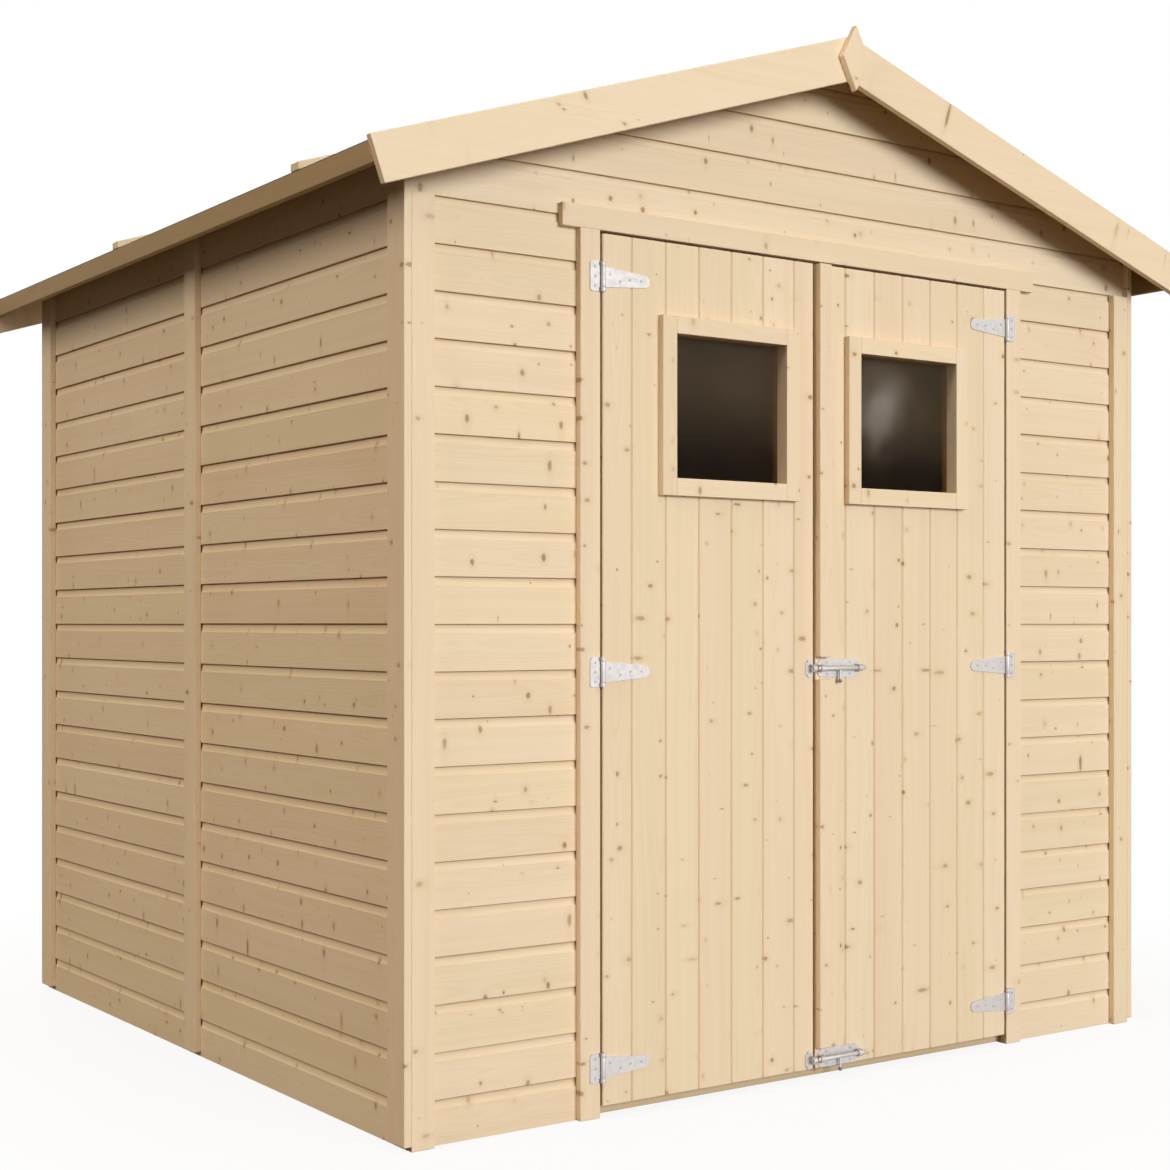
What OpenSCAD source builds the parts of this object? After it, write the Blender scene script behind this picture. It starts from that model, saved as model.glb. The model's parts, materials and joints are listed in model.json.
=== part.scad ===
// Wooden garden shed: boarded walls on a stud frame, a pitched roof with bargeboards,
// and a pair of ledged doors on T-hinges with two barrel bolts.
// Millimetres, +Z up, the doors face -Y, and the ground is z = 0.

/* [Shed] */
// Width over the side corner trims
shed_w = 2062; // [1800:1:2600]
// Depth over the front and back corner trims
shed_d = 1986; // [1500:1:2600]
// Height of the side walls' outer face, up to the roof deck
wall_h = 1881; // [1700:1:2200]
// Thickness of the planed boards: cladding, trims, leaves, bargeboards
board_t = 16; // [14:0.5:20]
// Width of the frame's studs and rails, seen from inside
stud_w = 45; // [35:1:60]
// Depth of the frame's studs and rails, out of the wall
stud_d = 28; // [22:1:45]

/* [Boards] */
// Height that each shiplap board covers
board_cover = 90; // [75:1:120]
// Depth of the scoop along the top of each shiplap board
scoop_d = 4.5; // [3:0.5:8]
// Height of the scoop along the top of each shiplap board
scoop_h = 16; // [5:0.5:20]
// Width that each matched board of the doors covers
matched_cover = 86.4; // [70:0.1:110]
// Width of the matched board at each door's hinges
hinge_board_w = 71.5; // [50:0.5:86]
// Depth of the V joints between the doors' boards
vee_d = 3; // [2:0.5:5]

/* [Trims] */
// Width of the trims on the front and back corners
front_trim_w = 50; // [40:1:70]
// Width of the trims on the side corners, which cover the edge of the others
side_trim_w = 66; // [50:1:90]
// Height of the side trims' feet above the ground
side_trim_lift = 10; // [4:1:20]
// Width of the strips over the joints between wall panels
cover_strip_w = 60; // [40:1:80]

/* [Floor] */
// Height of the floor bearers
bearer_h = 28; // [24:1:32]
// Width of the floor bearers
bearer_w = 45; // [35:1:70]
// Number of floor bearers
bearer_count = 5; // [3:1:8]
// Thickness of the floor boards
floor_t = 16; // [12:1:18]

/* [Roof] */
// Roof pitch in degrees
roof_pitch = 18; // [15:0.5:20]
// Overhang at the gables, from the trims to the bargeboard's outer face
gable_overhang = 100; // [60:1:160]
// Overhang at the eaves, from the side trims to the fascia's outer face
eave_overhang = 100; // [60:1:160]
// Thickness of the roof deck
deck_t = 16; // [12:1:20]
// Thickness of the roofing felt
felt_t = 2; // [1:0.5:4]
// Width of the bargeboards, square to the slope
barge_w = 90; // [70:1:120]
// How far the bargeboards stand above the deck, square to the slope
barge_rise = 6; // [4:1:20]
// Gap between a gable's two bargeboards at the apex
barge_joint = 1; // [0.4:0.1:2]
// How far the bargeboards run past the fascia
barge_reach = 26; // [4:1:34]
// How far the bargeboards' ends are cut back from the upper to the lower corner
barge_cut = 30; // [0:1:36]
// Height of the eaves fascia
fascia_h = 43; // [35:1:70]
// Height of the diamond finial
finial_h = 140; // [120:1:180]
// Width of the diamond finial
finial_w = 75; // [50:1:110]
// Drop of the finial's centre below the bargeboards' apex
finial_drop = 50; // [45:1:55]
// Width of the roof battens
batten_w = 35; // [25:1:50]
// Thickness of the roof battens
batten_t = 15; // [10:1:20]
// Distance from the front trims to the first batten's middle
batten_first = 253; // [120:1:400]
// Distance between battens
batten_pitch = 937; // [600:1:1000]
// Gap between battens of the two slopes, each side of the ridge
batten_ridge_gap = 30; // [10:1:60]
// Width of the ridge beam and purlins
beam_w = 45; // [35:1:60]
// Depth of the ridge beam and purlins
beam_h = 95; // [70:1:120]
// Distance from the ridge to a purlin's middle
purlin_x = 520; // [400:1:640]

/* [Doorway] */
// Clear width between the door posts
door_w = 1168; // [1000:1:1200]
// Drop of the header's underside below the top of the side walls
header_drop = 111; // [90:1:140]
// Height of the header board
header_h = 46; // [40:1:70]
// How far the header runs past each door post
header_reach = 43; // [20:1:60]
// Width of the door posts
post_w = 48; // [40:1:60]
// Height of the joint under the gable's first board, above the header's underside
gable_rise = 22.5; // [10:0.5:40]

/* [Doors] */
// Gap between a leaf and its post or the header
leaf_gap = 6; // [5:0.5:8]
// Place of the joint between the leaves, right of the doorway's middle
meet_x = -16; // [-24:1:0]
// Gap between the two leaves
meet_gap = 6; // [5:0.5:8]
// Height of the leaves above the ground
leaf_lift = 24; // [15:1:35]
// Width of the ledges on the back of each leaf
ledge_w = 90; // [60:1:100]
// Distance from the leaf's edges to the ledges' ends
ledge_inset = 36; // [20:1:60]
// Width of the strip over the joint between the leaves
meet_strip_w = 33; // [25:1:45]
// Gap between the meeting strip and a bolt
strip_gap = 4; // [2:0.5:8]

/* [Windows] */
// Width and height of a window's opening
window_w = 295; // [260:1:310]
// Drop of a window's upper edge below the header
window_drop = 192; // [180:1:240]
// Distance from the doorway's middle to a window's middle
window_x = 255; // [245:1:270]
// Width of the window frame's stiles and rails
window_frame_w = 36; // [25:1:38]
// Thickness of the pane
glass_t = 4; // [3:0.5:5]
// How far the pane reaches past the opening on each side
glass_lap = 12; // [6:1:18]
// Clearance between the pane and its rebate
glass_play = 0.5; // [0.2:0.1:1]

/* [Hinges] */
// Height of the lowest hinge
hinge_low_z = 101; // [98:1:140]
// Drop of the top hinge below the header
hinge_top_drop = 93; // [80:1:100]
// Thickness of the hinge metal
hinge_t = 2.5; // [2:0.5:4]
// Width of the plate on the post, from the pin
hinge_plate_w = 29; // [24:1:34]
// Height of the plate on the post
hinge_plate_h = 60; // [58:1:80]
// Length of the strap on the leaf, from the pin
strap_l = 118; // [90:1:160]
// Height of the strap at the pin
strap_root_h = 42; // [24:1:46]
// Height of the strap at its round tip
strap_tip_h = 25; // [14:1:30]
// Radius of the hinge pin
pin_r = 2.5; // [2:0.1:3]
// Radius of the rolled knuckle
knuckle_r = 5; // [4.5:0.1:6]
// Height of each knuckle of the plate
plate_knuckle_h = 8.5; // [6:0.5:14]
// Clearance round the pin and between knuckles
hinge_play = 0.4; // [0.3:0.05:0.6]
// Gap between the knuckles and the faces of the post and leaf
knuckle_gap = 0.5; // [0.3:0.1:1]

/* [Bolts] */
// Height of the bottom bolt's middle above the leaves' lower edge
bolt_low_rise = 20; // [20:1:40]
// Distance from the doorway's middle to the bolt plate
bolt_plate_x = -9; // [-10:1:14]
// Length of the bolt plate
bolt_plate_l = 122; // [95:1:130]
// Height of the bolt plate and keeper
bolt_plate_h = 40; // [30:1:42]
// Thickness of the bolt plate and keeper
bolt_plate_t = 2; // [1.5:0.5:3]
// Radius of the bolt's rod
rod_r = 5; // [4:0.5:6]
// Clearance between the rod and its guides
rod_play = 0.4; // [0.3:0.05:0.6]
// Thickness of metal round the rod in its guides
guide_wall = 2.5; // [2:0.5:4]
// Length of each guide
guide_l = 12; // [8:1:16]
// Length of the keeper's plate
keeper_l = 22; // [18:1:30]
// Width of the keeper's staple
staple_l = 11; // [8:1:14]
// Clearance between the rod and the staple
staple_play = 1.5; // [1:0.1:2.5]
// Thickness of the staple's metal
staple_t = 2; // [1.5:0.5:3]
// Distance from the left leaf's edge to the keeper
keeper_edge = 2.5; // [1:0.5:5]
// How far the drawn rod stays from the keeper's staple
rod_retreat = 6; // [5:0.5:8]
// Travel of the bolt
bolt_travel = 20; // [18:1:22]
// How far the drawn rod stands out behind its plate
rod_tail = 11; // [8:0.5:14]
// Gap between the shot bolt's handle and the meeting strip
handle_gap = 5.5; // [5:0.5:12]
// Length of the handle below the rod's axis
handle_l = 28; // [20:1:32]
// Radius of the handle
handle_r = 3; // [2.5:0.5:4]
// Radius of the ball on the handle
handle_ball_r = 4.5; // [4:0.5:6]

/* [Hidden] */
$fn = 48;

pale_wood = [0.91, 0.83, 0.69];
shaded_wood = [0.80, 0.71, 0.56];
grey_felt = [0.30, 0.31, 0.32];
zinc = [0.80, 0.81, 0.81];
dark_glass = [0.12, 0.13, 0.14, 0.6];

// Cut past a face, so that no zero-thin skin is left
eps = 1;

// Planes of the walls, from outside in: trims, cladding, frame, room
half_w = shed_w / 2;
half_d = shed_d / 2;
clad_x = half_w - board_t;
clad_y = half_d - board_t;
frame_x = clad_x - board_t;
frame_y = clad_y - board_t;
room_x = frame_x - stud_d;
room_y = frame_y - stud_d;

// Heights that follow the side walls
header_z = wall_h - header_drop;
gable_z = header_z + gable_rise;
window_z = header_z - window_drop - window_w;

// Gap left under sloped faces that rest on each other
seat_gap = 0.05;

// Roof lines
slope = tan(roof_pitch);
apex_h = wall_h + clad_x * slope + (barge_rise + deck_t + seat_gap) / cos(roof_pitch);
eave_x = half_w + eave_overhang;
deck_x = eave_x - board_t;
barge_y = half_d + gable_overhang;
deck_y = barge_y - board_t;
barge_x = eave_x + barge_reach;
function roof_z(x, below) = apex_h - below / cos(roof_pitch) - abs(x) * slope;
function deck_top(x) = roof_z(x, barge_rise);
function deck_low(x) = roof_z(x, barge_rise + deck_t);
function under_deck(x) = roof_z(x, barge_rise + deck_t + seat_gap);
function felt_low(x) = roof_z(x, barge_rise - seat_gap);
function felt_top(x) = roof_z(x, barge_rise - seat_gap - felt_t);
function batten_low(x) = roof_z(x, barge_rise - 2 * seat_gap - felt_t);
function batten_top(x) = roof_z(x, barge_rise - 2 * seat_gap - felt_t - batten_t);

// Doors
half_door = door_w / 2;
left_meet_x = meet_x - meet_gap / 2;
right_meet_x = meet_x + meet_gap / 2;
leaf_x1 = half_door - leaf_gap;
leaf_z0 = leaf_lift;
leaf_z1 = header_z - leaf_gap;
hinge_top_z = header_z - hinge_top_drop;
hinge_mid_z = (hinge_low_z + hinge_top_z) / 2;
hinge_zs = [hinge_low_z, hinge_mid_z, hinge_top_z];
pin_x = half_door - leaf_gap / 2;
pin_y = -half_d - knuckle_gap - knuckle_r;
bolt_low_z = leaf_lift + bolt_low_rise;
bolt_mid_z = hinge_mid_z;
bolt_zs = [bolt_mid_z, bolt_low_z];
guide_r = rod_r + rod_play + guide_wall;
rod_y = -half_d - bolt_plate_t - guide_r;
keeper_x = left_meet_x - keeper_edge;
rod_x0 = keeper_x + rod_retreat;
rod_l = bolt_plate_x + bolt_plate_l + rod_tail - rod_x0;
handle_x = right_meet_x + meet_strip_w + handle_gap + handle_ball_r + bolt_travel;

// Box from three ranges
module block(x, y, z) {
  translate([x[0], y[0], z[0]])
    cube([x[1] - x[0], y[1] - y[0], z[1] - z[0]]);
}

// Outline drawn in X and Z, run along Y
module along_y(y0, y1) {
  translate([0, y1, 0])
    rotate([90, 0, 0])
      linear_extrude(height = y1 - y0)
        children();
}

module left_too() {
  children();
  mirror([1, 0, 0])
    children();
}

module back_too() {
  children();
  at_back()
    children();
}

module at_left() {
  mirror([1, 0, 0])
    children();
}

module at_back() {
  mirror([0, 1, 0])
    children();
}

// Floor
module floor_deck() {
  color(shaded_wood)
    block([-room_x, room_x], [-room_y, room_y], [bearer_h, bearer_h + floor_t]);
}

module floor_bearers() {
  bearer_step = (2 * room_x - bearer_w) / (bearer_count - 1);
  color(shaded_wood)
    for (i = [0 : bearer_count - 1])
      translate([-room_x + i * bearer_step, 0, 0])
        block([0, bearer_w], [-room_y, room_y], [0, bearer_h]);
}

// Walls of shiplap: each board has a scoop along its top, under the lip of the next board.
// A profile is a list of [depth behind the wall's face, height], run down the face.
scoop_steps = 3;

function scoop(z) = [
  for (i = [0 : scoop_steps])
    let (a = 90 * i / scoop_steps)
      [scoop_d * cos(a), z - scoop_h * sin(a)]
];

function board_joints(z0, z1) = [
  for (i = [floor((z1 - gable_z) / board_cover) : -1 : ceil((z0 + scoop_h - gable_z) / board_cover)])
    gable_z + i * board_cover
];

// The joint at the very top has no lip over it
function shiplap(z0, z1, z1_back) = concat(
  [for (z = board_joints(z0, z1)) each (z < z1 ? concat([[0, z]], scoop(z)) : scoop(z))],
  [[0, z0], [board_t, z0], [board_t, z1_back]],
  max(board_joints(z0, z1)) < z1 ? [[0, z1]] : []
);

// Shiplap run along X, with its face towards -Y
module shiplap_x(x0, x1, z0, z1) {
  translate([x0, -clad_y, 0])
    rotate([90, 0, 90])
      linear_extrude(height = x1 - x0)
        polygon(shiplap(z0, z1, z1));
}

module front_panel() {
  color(pale_wood)
    shiplap_x(half_door, clad_x, 0, gable_z);
}

module front_wall_right() {
  front_panel();
}

module front_wall_left() {
  at_left()
    front_panel();
}

module gable_outline() {
  polygon([
    [-clad_x, gable_z], [clad_x, gable_z], [clad_x, under_deck(clad_x)],
    [0, under_deck(0)], [-clad_x, under_deck(clad_x)]
  ]);
}

module gable_boards() {
  intersection() {
    shiplap_x(-clad_x, clad_x, gable_z, apex_h);
    along_y(-clad_y - eps, -frame_y + eps)
      gable_outline();
  }
}

// The front gable's lowest board runs down behind the header
module front_gable() {
  color(pale_wood) {
    gable_boards();
    block([-half_door, half_door], [-clad_y, -frame_y], [header_z, gable_z]);
  }
}

module back_gable() {
  color(pale_wood)
    at_back()
      gable_boards();
}

module side_panel() {
  color(pale_wood)
    along_y(-frame_y, 0)
      translate([clad_x, 0])
        mirror([1, 0])
          polygon(shiplap(0, under_deck(clad_x), under_deck(frame_x)));
}

module right_wall_front() {
  side_panel();
}

module right_wall_rear() {
  at_back()
    side_panel();
}

module left_wall_front() {
  at_left()
    side_panel();
}

module left_wall_rear() {
  at_left()
    at_back()
      side_panel();
}

module back_panel() {
  color(pale_wood)
    at_back()
      shiplap_x(0, clad_x, 0, gable_z);
}

module back_wall_right() {
  back_panel();
}

module back_wall_left() {
  at_left()
    back_panel();
}

// Frame
side_plate_z = under_deck(frame_x);

module front_back_studs() {
  color(shaded_wood) {
    left_too() {
      back_too()
        block([frame_x - stud_w, frame_x], [-frame_y, -room_y], [stud_w, header_z]);
      block([half_door, half_door + stud_w], [-frame_y, -room_y], [stud_w, header_z]);
    }
    block([-stud_w / 2, stud_w / 2], [room_y, frame_y], [stud_w, header_z]);
  }
}

module side_studs() {
  color(shaded_wood)
    left_too() {
      back_too()
        block([room_x, frame_x], [-room_y, -room_y + stud_w], [stud_w, side_plate_z - stud_w]);
      block([room_x, frame_x], [-stud_w / 2, stud_w / 2], [stud_w, side_plate_z - stud_w]);
    }
}

module front_back_rails() {
  color(shaded_wood)
    back_too() {
      block([-frame_x, frame_x], [-frame_y, -room_y], [0, stud_w]);
      block([-frame_x, frame_x], [-frame_y, -room_y], [header_z, header_z + stud_w]);
    }
}

module side_rails() {
  color(shaded_wood)
    left_too() {
      block([room_x, frame_x], [-room_y, room_y], [0, stud_w]);
      block([room_x, frame_x], [-room_y, room_y], [side_plate_z - stud_w, side_plate_z]);
    }
}

// Trims
module front_corner_trims() {
  color(pale_wood)
    left_too()
      block([clad_x - front_trim_w, clad_x], [-half_d, -clad_y], [0, gable_z]);
}

module back_corner_trims() {
  at_back()
    front_corner_trims();
}

module side_corner_trims() {
  color(pale_wood)
    left_too()
      back_too()
        block([clad_x, half_w], [-half_d, -half_d + side_trim_w], [side_trim_lift, under_deck(half_w)]);
}

module cover_strips() {
  color(pale_wood) {
    left_too()
      block([clad_x, half_w], [-cover_strip_w / 2, cover_strip_w / 2], [side_trim_lift, under_deck(half_w)]);
    block([-cover_strip_w / 2, cover_strip_w / 2], [clad_y, half_d], [0, gable_z]);
  }
}

module door_posts() {
  color(pale_wood)
    left_too()
      block([half_door, half_door + post_w], [-half_d, -clad_y], [0, header_z]);
}

module door_header() {
  header_x = half_door + post_w + header_reach;
  color(pale_wood)
    block([-header_x, header_x], [-half_d, -clad_y], [header_z, header_z + header_h]);
}

// Roof
module roof_beams() {
  color(shaded_wood)
    along_y(-frame_y, frame_y) {
      polygon([
        [-beam_w / 2, under_deck(0) - beam_h], [beam_w / 2, under_deck(0) - beam_h],
        [beam_w / 2, under_deck(beam_w / 2)], [0, under_deck(0)], [-beam_w / 2, under_deck(beam_w / 2)]
      ]);
      left_too()
        purlin_outline();
    }
}

module purlin_outline() {
  inner_x = purlin_x - beam_w / 2;
  outer_x = purlin_x + beam_w / 2;
  low_z = under_deck(outer_x) - beam_h;
  polygon([[inner_x, low_z], [outer_x, low_z], [outer_x, under_deck(outer_x)], [inner_x, under_deck(inner_x)]]);
}

module roof_right_deck() {
  color(pale_wood)
    along_y(-deck_y, deck_y)
      polygon([[0, deck_low(0)], [deck_x, deck_low(deck_x)], [deck_x, deck_top(deck_x)], [0, deck_top(0)]]);
}

module roof_left_deck() {
  at_left()
    roof_right_deck();
}

module roof_felt() {
  color(grey_felt)
    along_y(-deck_y, deck_y)
      polygon([
        [-eave_x, felt_low(eave_x)], [0, felt_low(0)], [eave_x, felt_low(eave_x)],
        [eave_x, felt_top(eave_x)], [0, felt_top(0)], [-eave_x, felt_top(eave_x)]
      ]);
}

module batten_outline() {
  polygon([
    [batten_ridge_gap, batten_low(batten_ridge_gap)], [eave_x, batten_low(eave_x)],
    [eave_x, batten_top(eave_x)], [batten_ridge_gap, batten_top(batten_ridge_gap)]
  ]);
}

module roof_battens() {
  color(pale_wood)
    left_too()
      for (y = [-half_d + batten_first : batten_pitch : deck_y - batten_w])
        along_y(y - batten_w / 2, y + batten_w / 2)
          batten_outline();
}

module eave_fascias() {
  color(pale_wood)
    left_too()
      along_y(-deck_y, deck_y)
        polygon([
          [deck_x, deck_top(eave_x) - fascia_h], [eave_x, deck_top(eave_x) - fascia_h],
          [eave_x, deck_top(eave_x)], [deck_x, deck_top(deck_x)]
        ]);
}

// One side of the gable's pair, cut plumb at the apex and back at the eave
module barge_outline() {
  joint_x = barge_joint / 2;
  low_x = barge_x - barge_cut;
  polygon([
    [joint_x, roof_z(joint_x, 0)], [joint_x, roof_z(joint_x, barge_w)],
    [low_x, roof_z(low_x, barge_w)], [barge_x, roof_z(barge_x, 0)]
  ]);
}

module front_bargeboards() {
  color(pale_wood)
    along_y(-barge_y, -barge_y + board_t)
      left_too()
        barge_outline();
}

module back_bargeboards() {
  at_back()
    front_bargeboards();
}

module front_finial() {
  color(pale_wood)
    along_y(-barge_y - board_t, -barge_y)
      translate([0, apex_h - finial_drop])
        polygon([[finial_w / 2, 0], [0, finial_h / 2], [-finial_w / 2, 0], [0, -finial_h / 2]]);
}

module back_finial() {
  at_back()
    front_finial();
}

// Hinges, drawn for the right door
strap_half_h = strap_root_h / 2;
plate_knuckle_z = strap_half_h + hinge_play;

module knuckle_at(z, h) {
  translate([pin_x, pin_y, z])
    cylinder(r = knuckle_r, h = h);
}

module hinge_plate() {
  block([pin_x + knuckle_r + hinge_play, pin_x + hinge_plate_w],
        [-half_d - hinge_t, -half_d], [-hinge_plate_h / 2, hinge_plate_h / 2]);
  for (z = [-plate_knuckle_z - plate_knuckle_h, plate_knuckle_z]) {
    knuckle_at(z, plate_knuckle_h);
    block([pin_x, pin_x + hinge_plate_w],
          [-half_d - hinge_t, -half_d], [z, z + plate_knuckle_h]);
  }
  translate([pin_x, pin_y, -plate_knuckle_z - plate_knuckle_h])
    cylinder(r = pin_r, h = 2 * (plate_knuckle_z + plate_knuckle_h));
}

module hinge_plates() {
  color(zinc)
    left_too()
      for (z = hinge_zs)
        translate([0, 0, z])
          hinge_plate();
}

module strap_outline() {
  tip_r = strap_tip_h / 2;
  tip_x = pin_x - strap_l + tip_r;
  polygon([
    [pin_x, -strap_half_h], [pin_x, strap_half_h],
    [tip_x, tip_r], [tip_x, -tip_r]
  ]);
  translate([tip_x, 0])
    circle(r = tip_r);
}

module hinge_strap() {
  difference() {
    union() {
      along_y(-half_d - hinge_t, -half_d)
        strap_outline();
      knuckle_at(-strap_half_h, strap_root_h);
    }
    translate([pin_x, pin_y, -strap_half_h - eps])
      cylinder(r = pin_r + hinge_play, h = strap_root_h + 2 * eps);
  }
}

module right_hinge_straps() {
  color(zinc)
    for (z = hinge_zs)
      translate([0, 0, z])
        hinge_strap();
}

// A strap is alike above and below its middle, so half a turn makes it left-handed
module left_hinge_straps() {
  color(zinc)
    for (z = hinge_zs)
      translate([0, 0, z])
        rotate([0, 180, 0])
          hinge_strap();
}

// Doors, drawn for the right one; a leaf or ledge reaches in to its own side of the joint
module window_hole(y0, y1, grow) {
  block([window_x - window_w / 2 - grow, window_x + window_w / 2 + grow], [y0, y1],
        [window_z - grow, window_z + window_w + grow]);
}

// Matched boards: V joints down the face, laid out from the hinges
function vee_xs(inner_x) = [
  for (x = [leaf_x1 - hinge_board_w : -matched_cover : inner_x + 2 * vee_d])
    x
];

module leaf_outline(inner_x) {
  polygon(concat(
    [[leaf_x1, -clad_y], [leaf_x1, -half_d]],
    [for (x = vee_xs(inner_x)) each [[x + vee_d, -half_d], [x, -half_d + vee_d], [x - vee_d, -half_d]]],
    [[inner_x, -half_d], [inner_x, -clad_y]]
  ));
}

module leaf(inner_x) {
  color(pale_wood)
    difference() {
      translate([0, 0, leaf_z0])
        linear_extrude(height = leaf_z1 - leaf_z0)
          leaf_outline(inner_x);
      window_hole(-half_d - eps, -clad_y + eps, 0);
    }
}

module right_door_leaf() {
  leaf(right_meet_x);
}

module left_door_leaf() {
  at_left()
    leaf(-left_meet_x);
}

module ledges(inner_x) {
  color(shaded_wood)
    for (z = hinge_zs)
      block([inner_x + ledge_inset, leaf_x1 - ledge_inset], [-clad_y, -frame_y],
            [z - ledge_w / 2, z + ledge_w / 2]);
}

module right_door_ledges() {
  ledges(right_meet_x);
}

module left_door_ledges() {
  at_left()
    ledges(-left_meet_x);
}

// Frame on the face of the leaf, and a rebated frame behind that holds the pane
module right_window_frame() {
  color(pale_wood) {
    difference() {
      window_hole(-half_d - board_t, -half_d, window_frame_w);
      window_hole(-half_d - board_t - eps, -half_d + eps, 0);
    }
    difference() {
      window_hole(-clad_y, -frame_y, window_frame_w);
      window_hole(-clad_y - eps, -frame_y + eps, 0);
      window_hole(-clad_y - eps, -clad_y + glass_t, glass_lap + glass_play);
    }
  }
}

module left_window_frame() {
  at_left()
    right_window_frame();
}

module right_window_glass() {
  color(dark_glass)
    window_hole(-clad_y, -clad_y + glass_t, glass_lap);
}

module left_window_glass() {
  at_left()
    right_window_glass();
}

// Strip over the joint, in two lengths that stop at the bolts
module meeting_strips() {
  strip_stop = bolt_plate_h / 2 + strip_gap;
  color(pale_wood)
    for (z = [[bolt_low_z + strip_stop, bolt_mid_z - strip_stop], [bolt_mid_z + strip_stop, leaf_z1]])
      block([right_meet_x, right_meet_x + meet_strip_w], [-half_d - board_t, -half_d], z);
}

// Bolts
module rod_guide(x0, l) {
  difference() {
    union() {
      translate([x0, rod_y, 0])
        rotate([0, 90, 0])
          cylinder(r = guide_r, h = l);
      block([x0, x0 + l], [rod_y, -half_d], [-guide_r, guide_r]);
    }
    translate([x0 - eps, rod_y, 0])
      rotate([0, 90, 0])
        cylinder(r = rod_r + rod_play, h = l + 2 * eps);
  }
}

module bolt_plate() {
  block([bolt_plate_x, bolt_plate_x + bolt_plate_l], [-half_d - bolt_plate_t, -half_d],
        [-bolt_plate_h / 2, bolt_plate_h / 2]);
  rod_guide(bolt_plate_x, guide_l);
  rod_guide(bolt_plate_x + bolt_plate_l - guide_l, guide_l);
}

module bolt_plates() {
  color(zinc)
    for (z = bolt_zs)
      translate([0, 0, z])
        bolt_plate();
}

// A plate with a strap bent over the rod
module bolt_keeper() {
  staple_in = rod_r + staple_play;
  staple_out = staple_in + staple_t;
  block([keeper_x - keeper_l, keeper_x], [-half_d - bolt_plate_t, -half_d],
        [-bolt_plate_h / 2, bolt_plate_h / 2]);
  difference() {
    block([keeper_x - staple_l, keeper_x], [rod_y - staple_out, -half_d], [-staple_out, staple_out]);
    block([keeper_x - staple_l - eps, keeper_x + eps], [rod_y - staple_in, -half_d - bolt_plate_t],
          [-staple_in, staple_in]);
  }
}

module bolt_keepers() {
  color(zinc)
    for (z = bolt_zs)
      translate([0, 0, z])
        bolt_keeper();
}

module bolt_rod() {
  translate([rod_x0, rod_y, 0])
    rotate([0, 90, 0])
      cylinder(r = rod_r, h = rod_l);
  translate([handle_x, rod_y, -handle_l])
    cylinder(r = handle_r, h = handle_l);
  translate([handle_x, rod_y, -handle_l])
    sphere(r = handle_ball_r);
}

module middle_bolt() {
  color(zinc)
    translate([0, 0, bolt_mid_z])
      bolt_rod();
}

module bottom_bolt() {
  color(zinc)
    translate([0, 0, bolt_low_z])
      bolt_rod();
}

floor_deck();
floor_bearers();
front_wall_left();
front_wall_right();
front_gable();
left_wall_front();
left_wall_rear();
right_wall_front();
right_wall_rear();
back_wall_left();
back_wall_right();
back_gable();
front_back_studs();
side_studs();
front_back_rails();
side_rails();
front_corner_trims();
back_corner_trims();
side_corner_trims();
cover_strips();
door_posts();
door_header();
roof_beams();
roof_left_deck();
roof_right_deck();
roof_felt();
roof_battens();
eave_fascias();
front_bargeboards();
back_bargeboards();
front_finial();
back_finial();
hinge_plates();
left_door_leaf();
left_door_ledges();
left_window_frame();
left_window_glass();
left_hinge_straps();
bolt_keepers();
right_door_leaf();
right_door_ledges();
right_window_frame();
right_window_glass();
right_hinge_straps();
meeting_strips();
bolt_plates();
middle_bolt();
bottom_bolt();
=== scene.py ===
import json
import math
import random

import bmesh
import bpy
from bpy.props import FloatProperty, FloatVectorProperty, IntProperty, PointerProperty
from mathutils import Matrix, Vector


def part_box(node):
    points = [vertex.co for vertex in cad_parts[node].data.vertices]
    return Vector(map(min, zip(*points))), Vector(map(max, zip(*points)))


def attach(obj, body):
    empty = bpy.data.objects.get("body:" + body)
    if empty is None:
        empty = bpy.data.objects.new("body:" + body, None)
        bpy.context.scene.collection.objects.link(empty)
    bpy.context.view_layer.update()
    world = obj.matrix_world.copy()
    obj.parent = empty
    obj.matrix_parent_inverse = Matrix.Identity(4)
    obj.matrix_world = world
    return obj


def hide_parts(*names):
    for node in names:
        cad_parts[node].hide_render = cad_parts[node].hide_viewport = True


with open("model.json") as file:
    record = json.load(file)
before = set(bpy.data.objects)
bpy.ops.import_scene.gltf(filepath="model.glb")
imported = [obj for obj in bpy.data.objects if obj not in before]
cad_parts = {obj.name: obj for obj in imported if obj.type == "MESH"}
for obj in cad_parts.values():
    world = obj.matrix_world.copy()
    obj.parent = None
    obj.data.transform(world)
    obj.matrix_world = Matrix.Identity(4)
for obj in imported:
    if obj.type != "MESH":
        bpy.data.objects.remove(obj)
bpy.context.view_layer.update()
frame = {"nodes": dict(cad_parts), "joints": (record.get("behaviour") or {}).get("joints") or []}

bl_info = {
    "name": "Wooden garden shed",
    "version": (1, 0, 0),
    "blender": (4, 5, 0),
    "location": "3D View > Sidebar > Shed",
    "description": "Boards, fittings and finishes of a wooden garden shed, built round its solid model",
    "category": "Add Mesh",
}

X, Y, Z = Vector((1, 0, 0)), Vector((0, 1, 0)), Vector((0, 0, 1))
SIDES = (("left", -1), ("right", 1))
WHITE = (1.0, 1.0, 1.0, 1.0)

# Planes of the walls, from the solid model
WALL_LOW, WALL_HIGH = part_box("front_wall_right")
HALF_DOOR, CLAD_X = WALL_LOW.x, WALL_HIGH.x
CLAD_Y, FRAME_Y = -WALL_LOW.y, -WALL_HIGH.y
GABLE_Z = WALL_HIGH.z
BOARD_T = CLAD_Y - FRAME_Y
FRAME_X = CLAD_X - BOARD_T
HALF_D = -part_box("door_header")[0].y
HEADER_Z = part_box("door_header")[0].z

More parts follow.
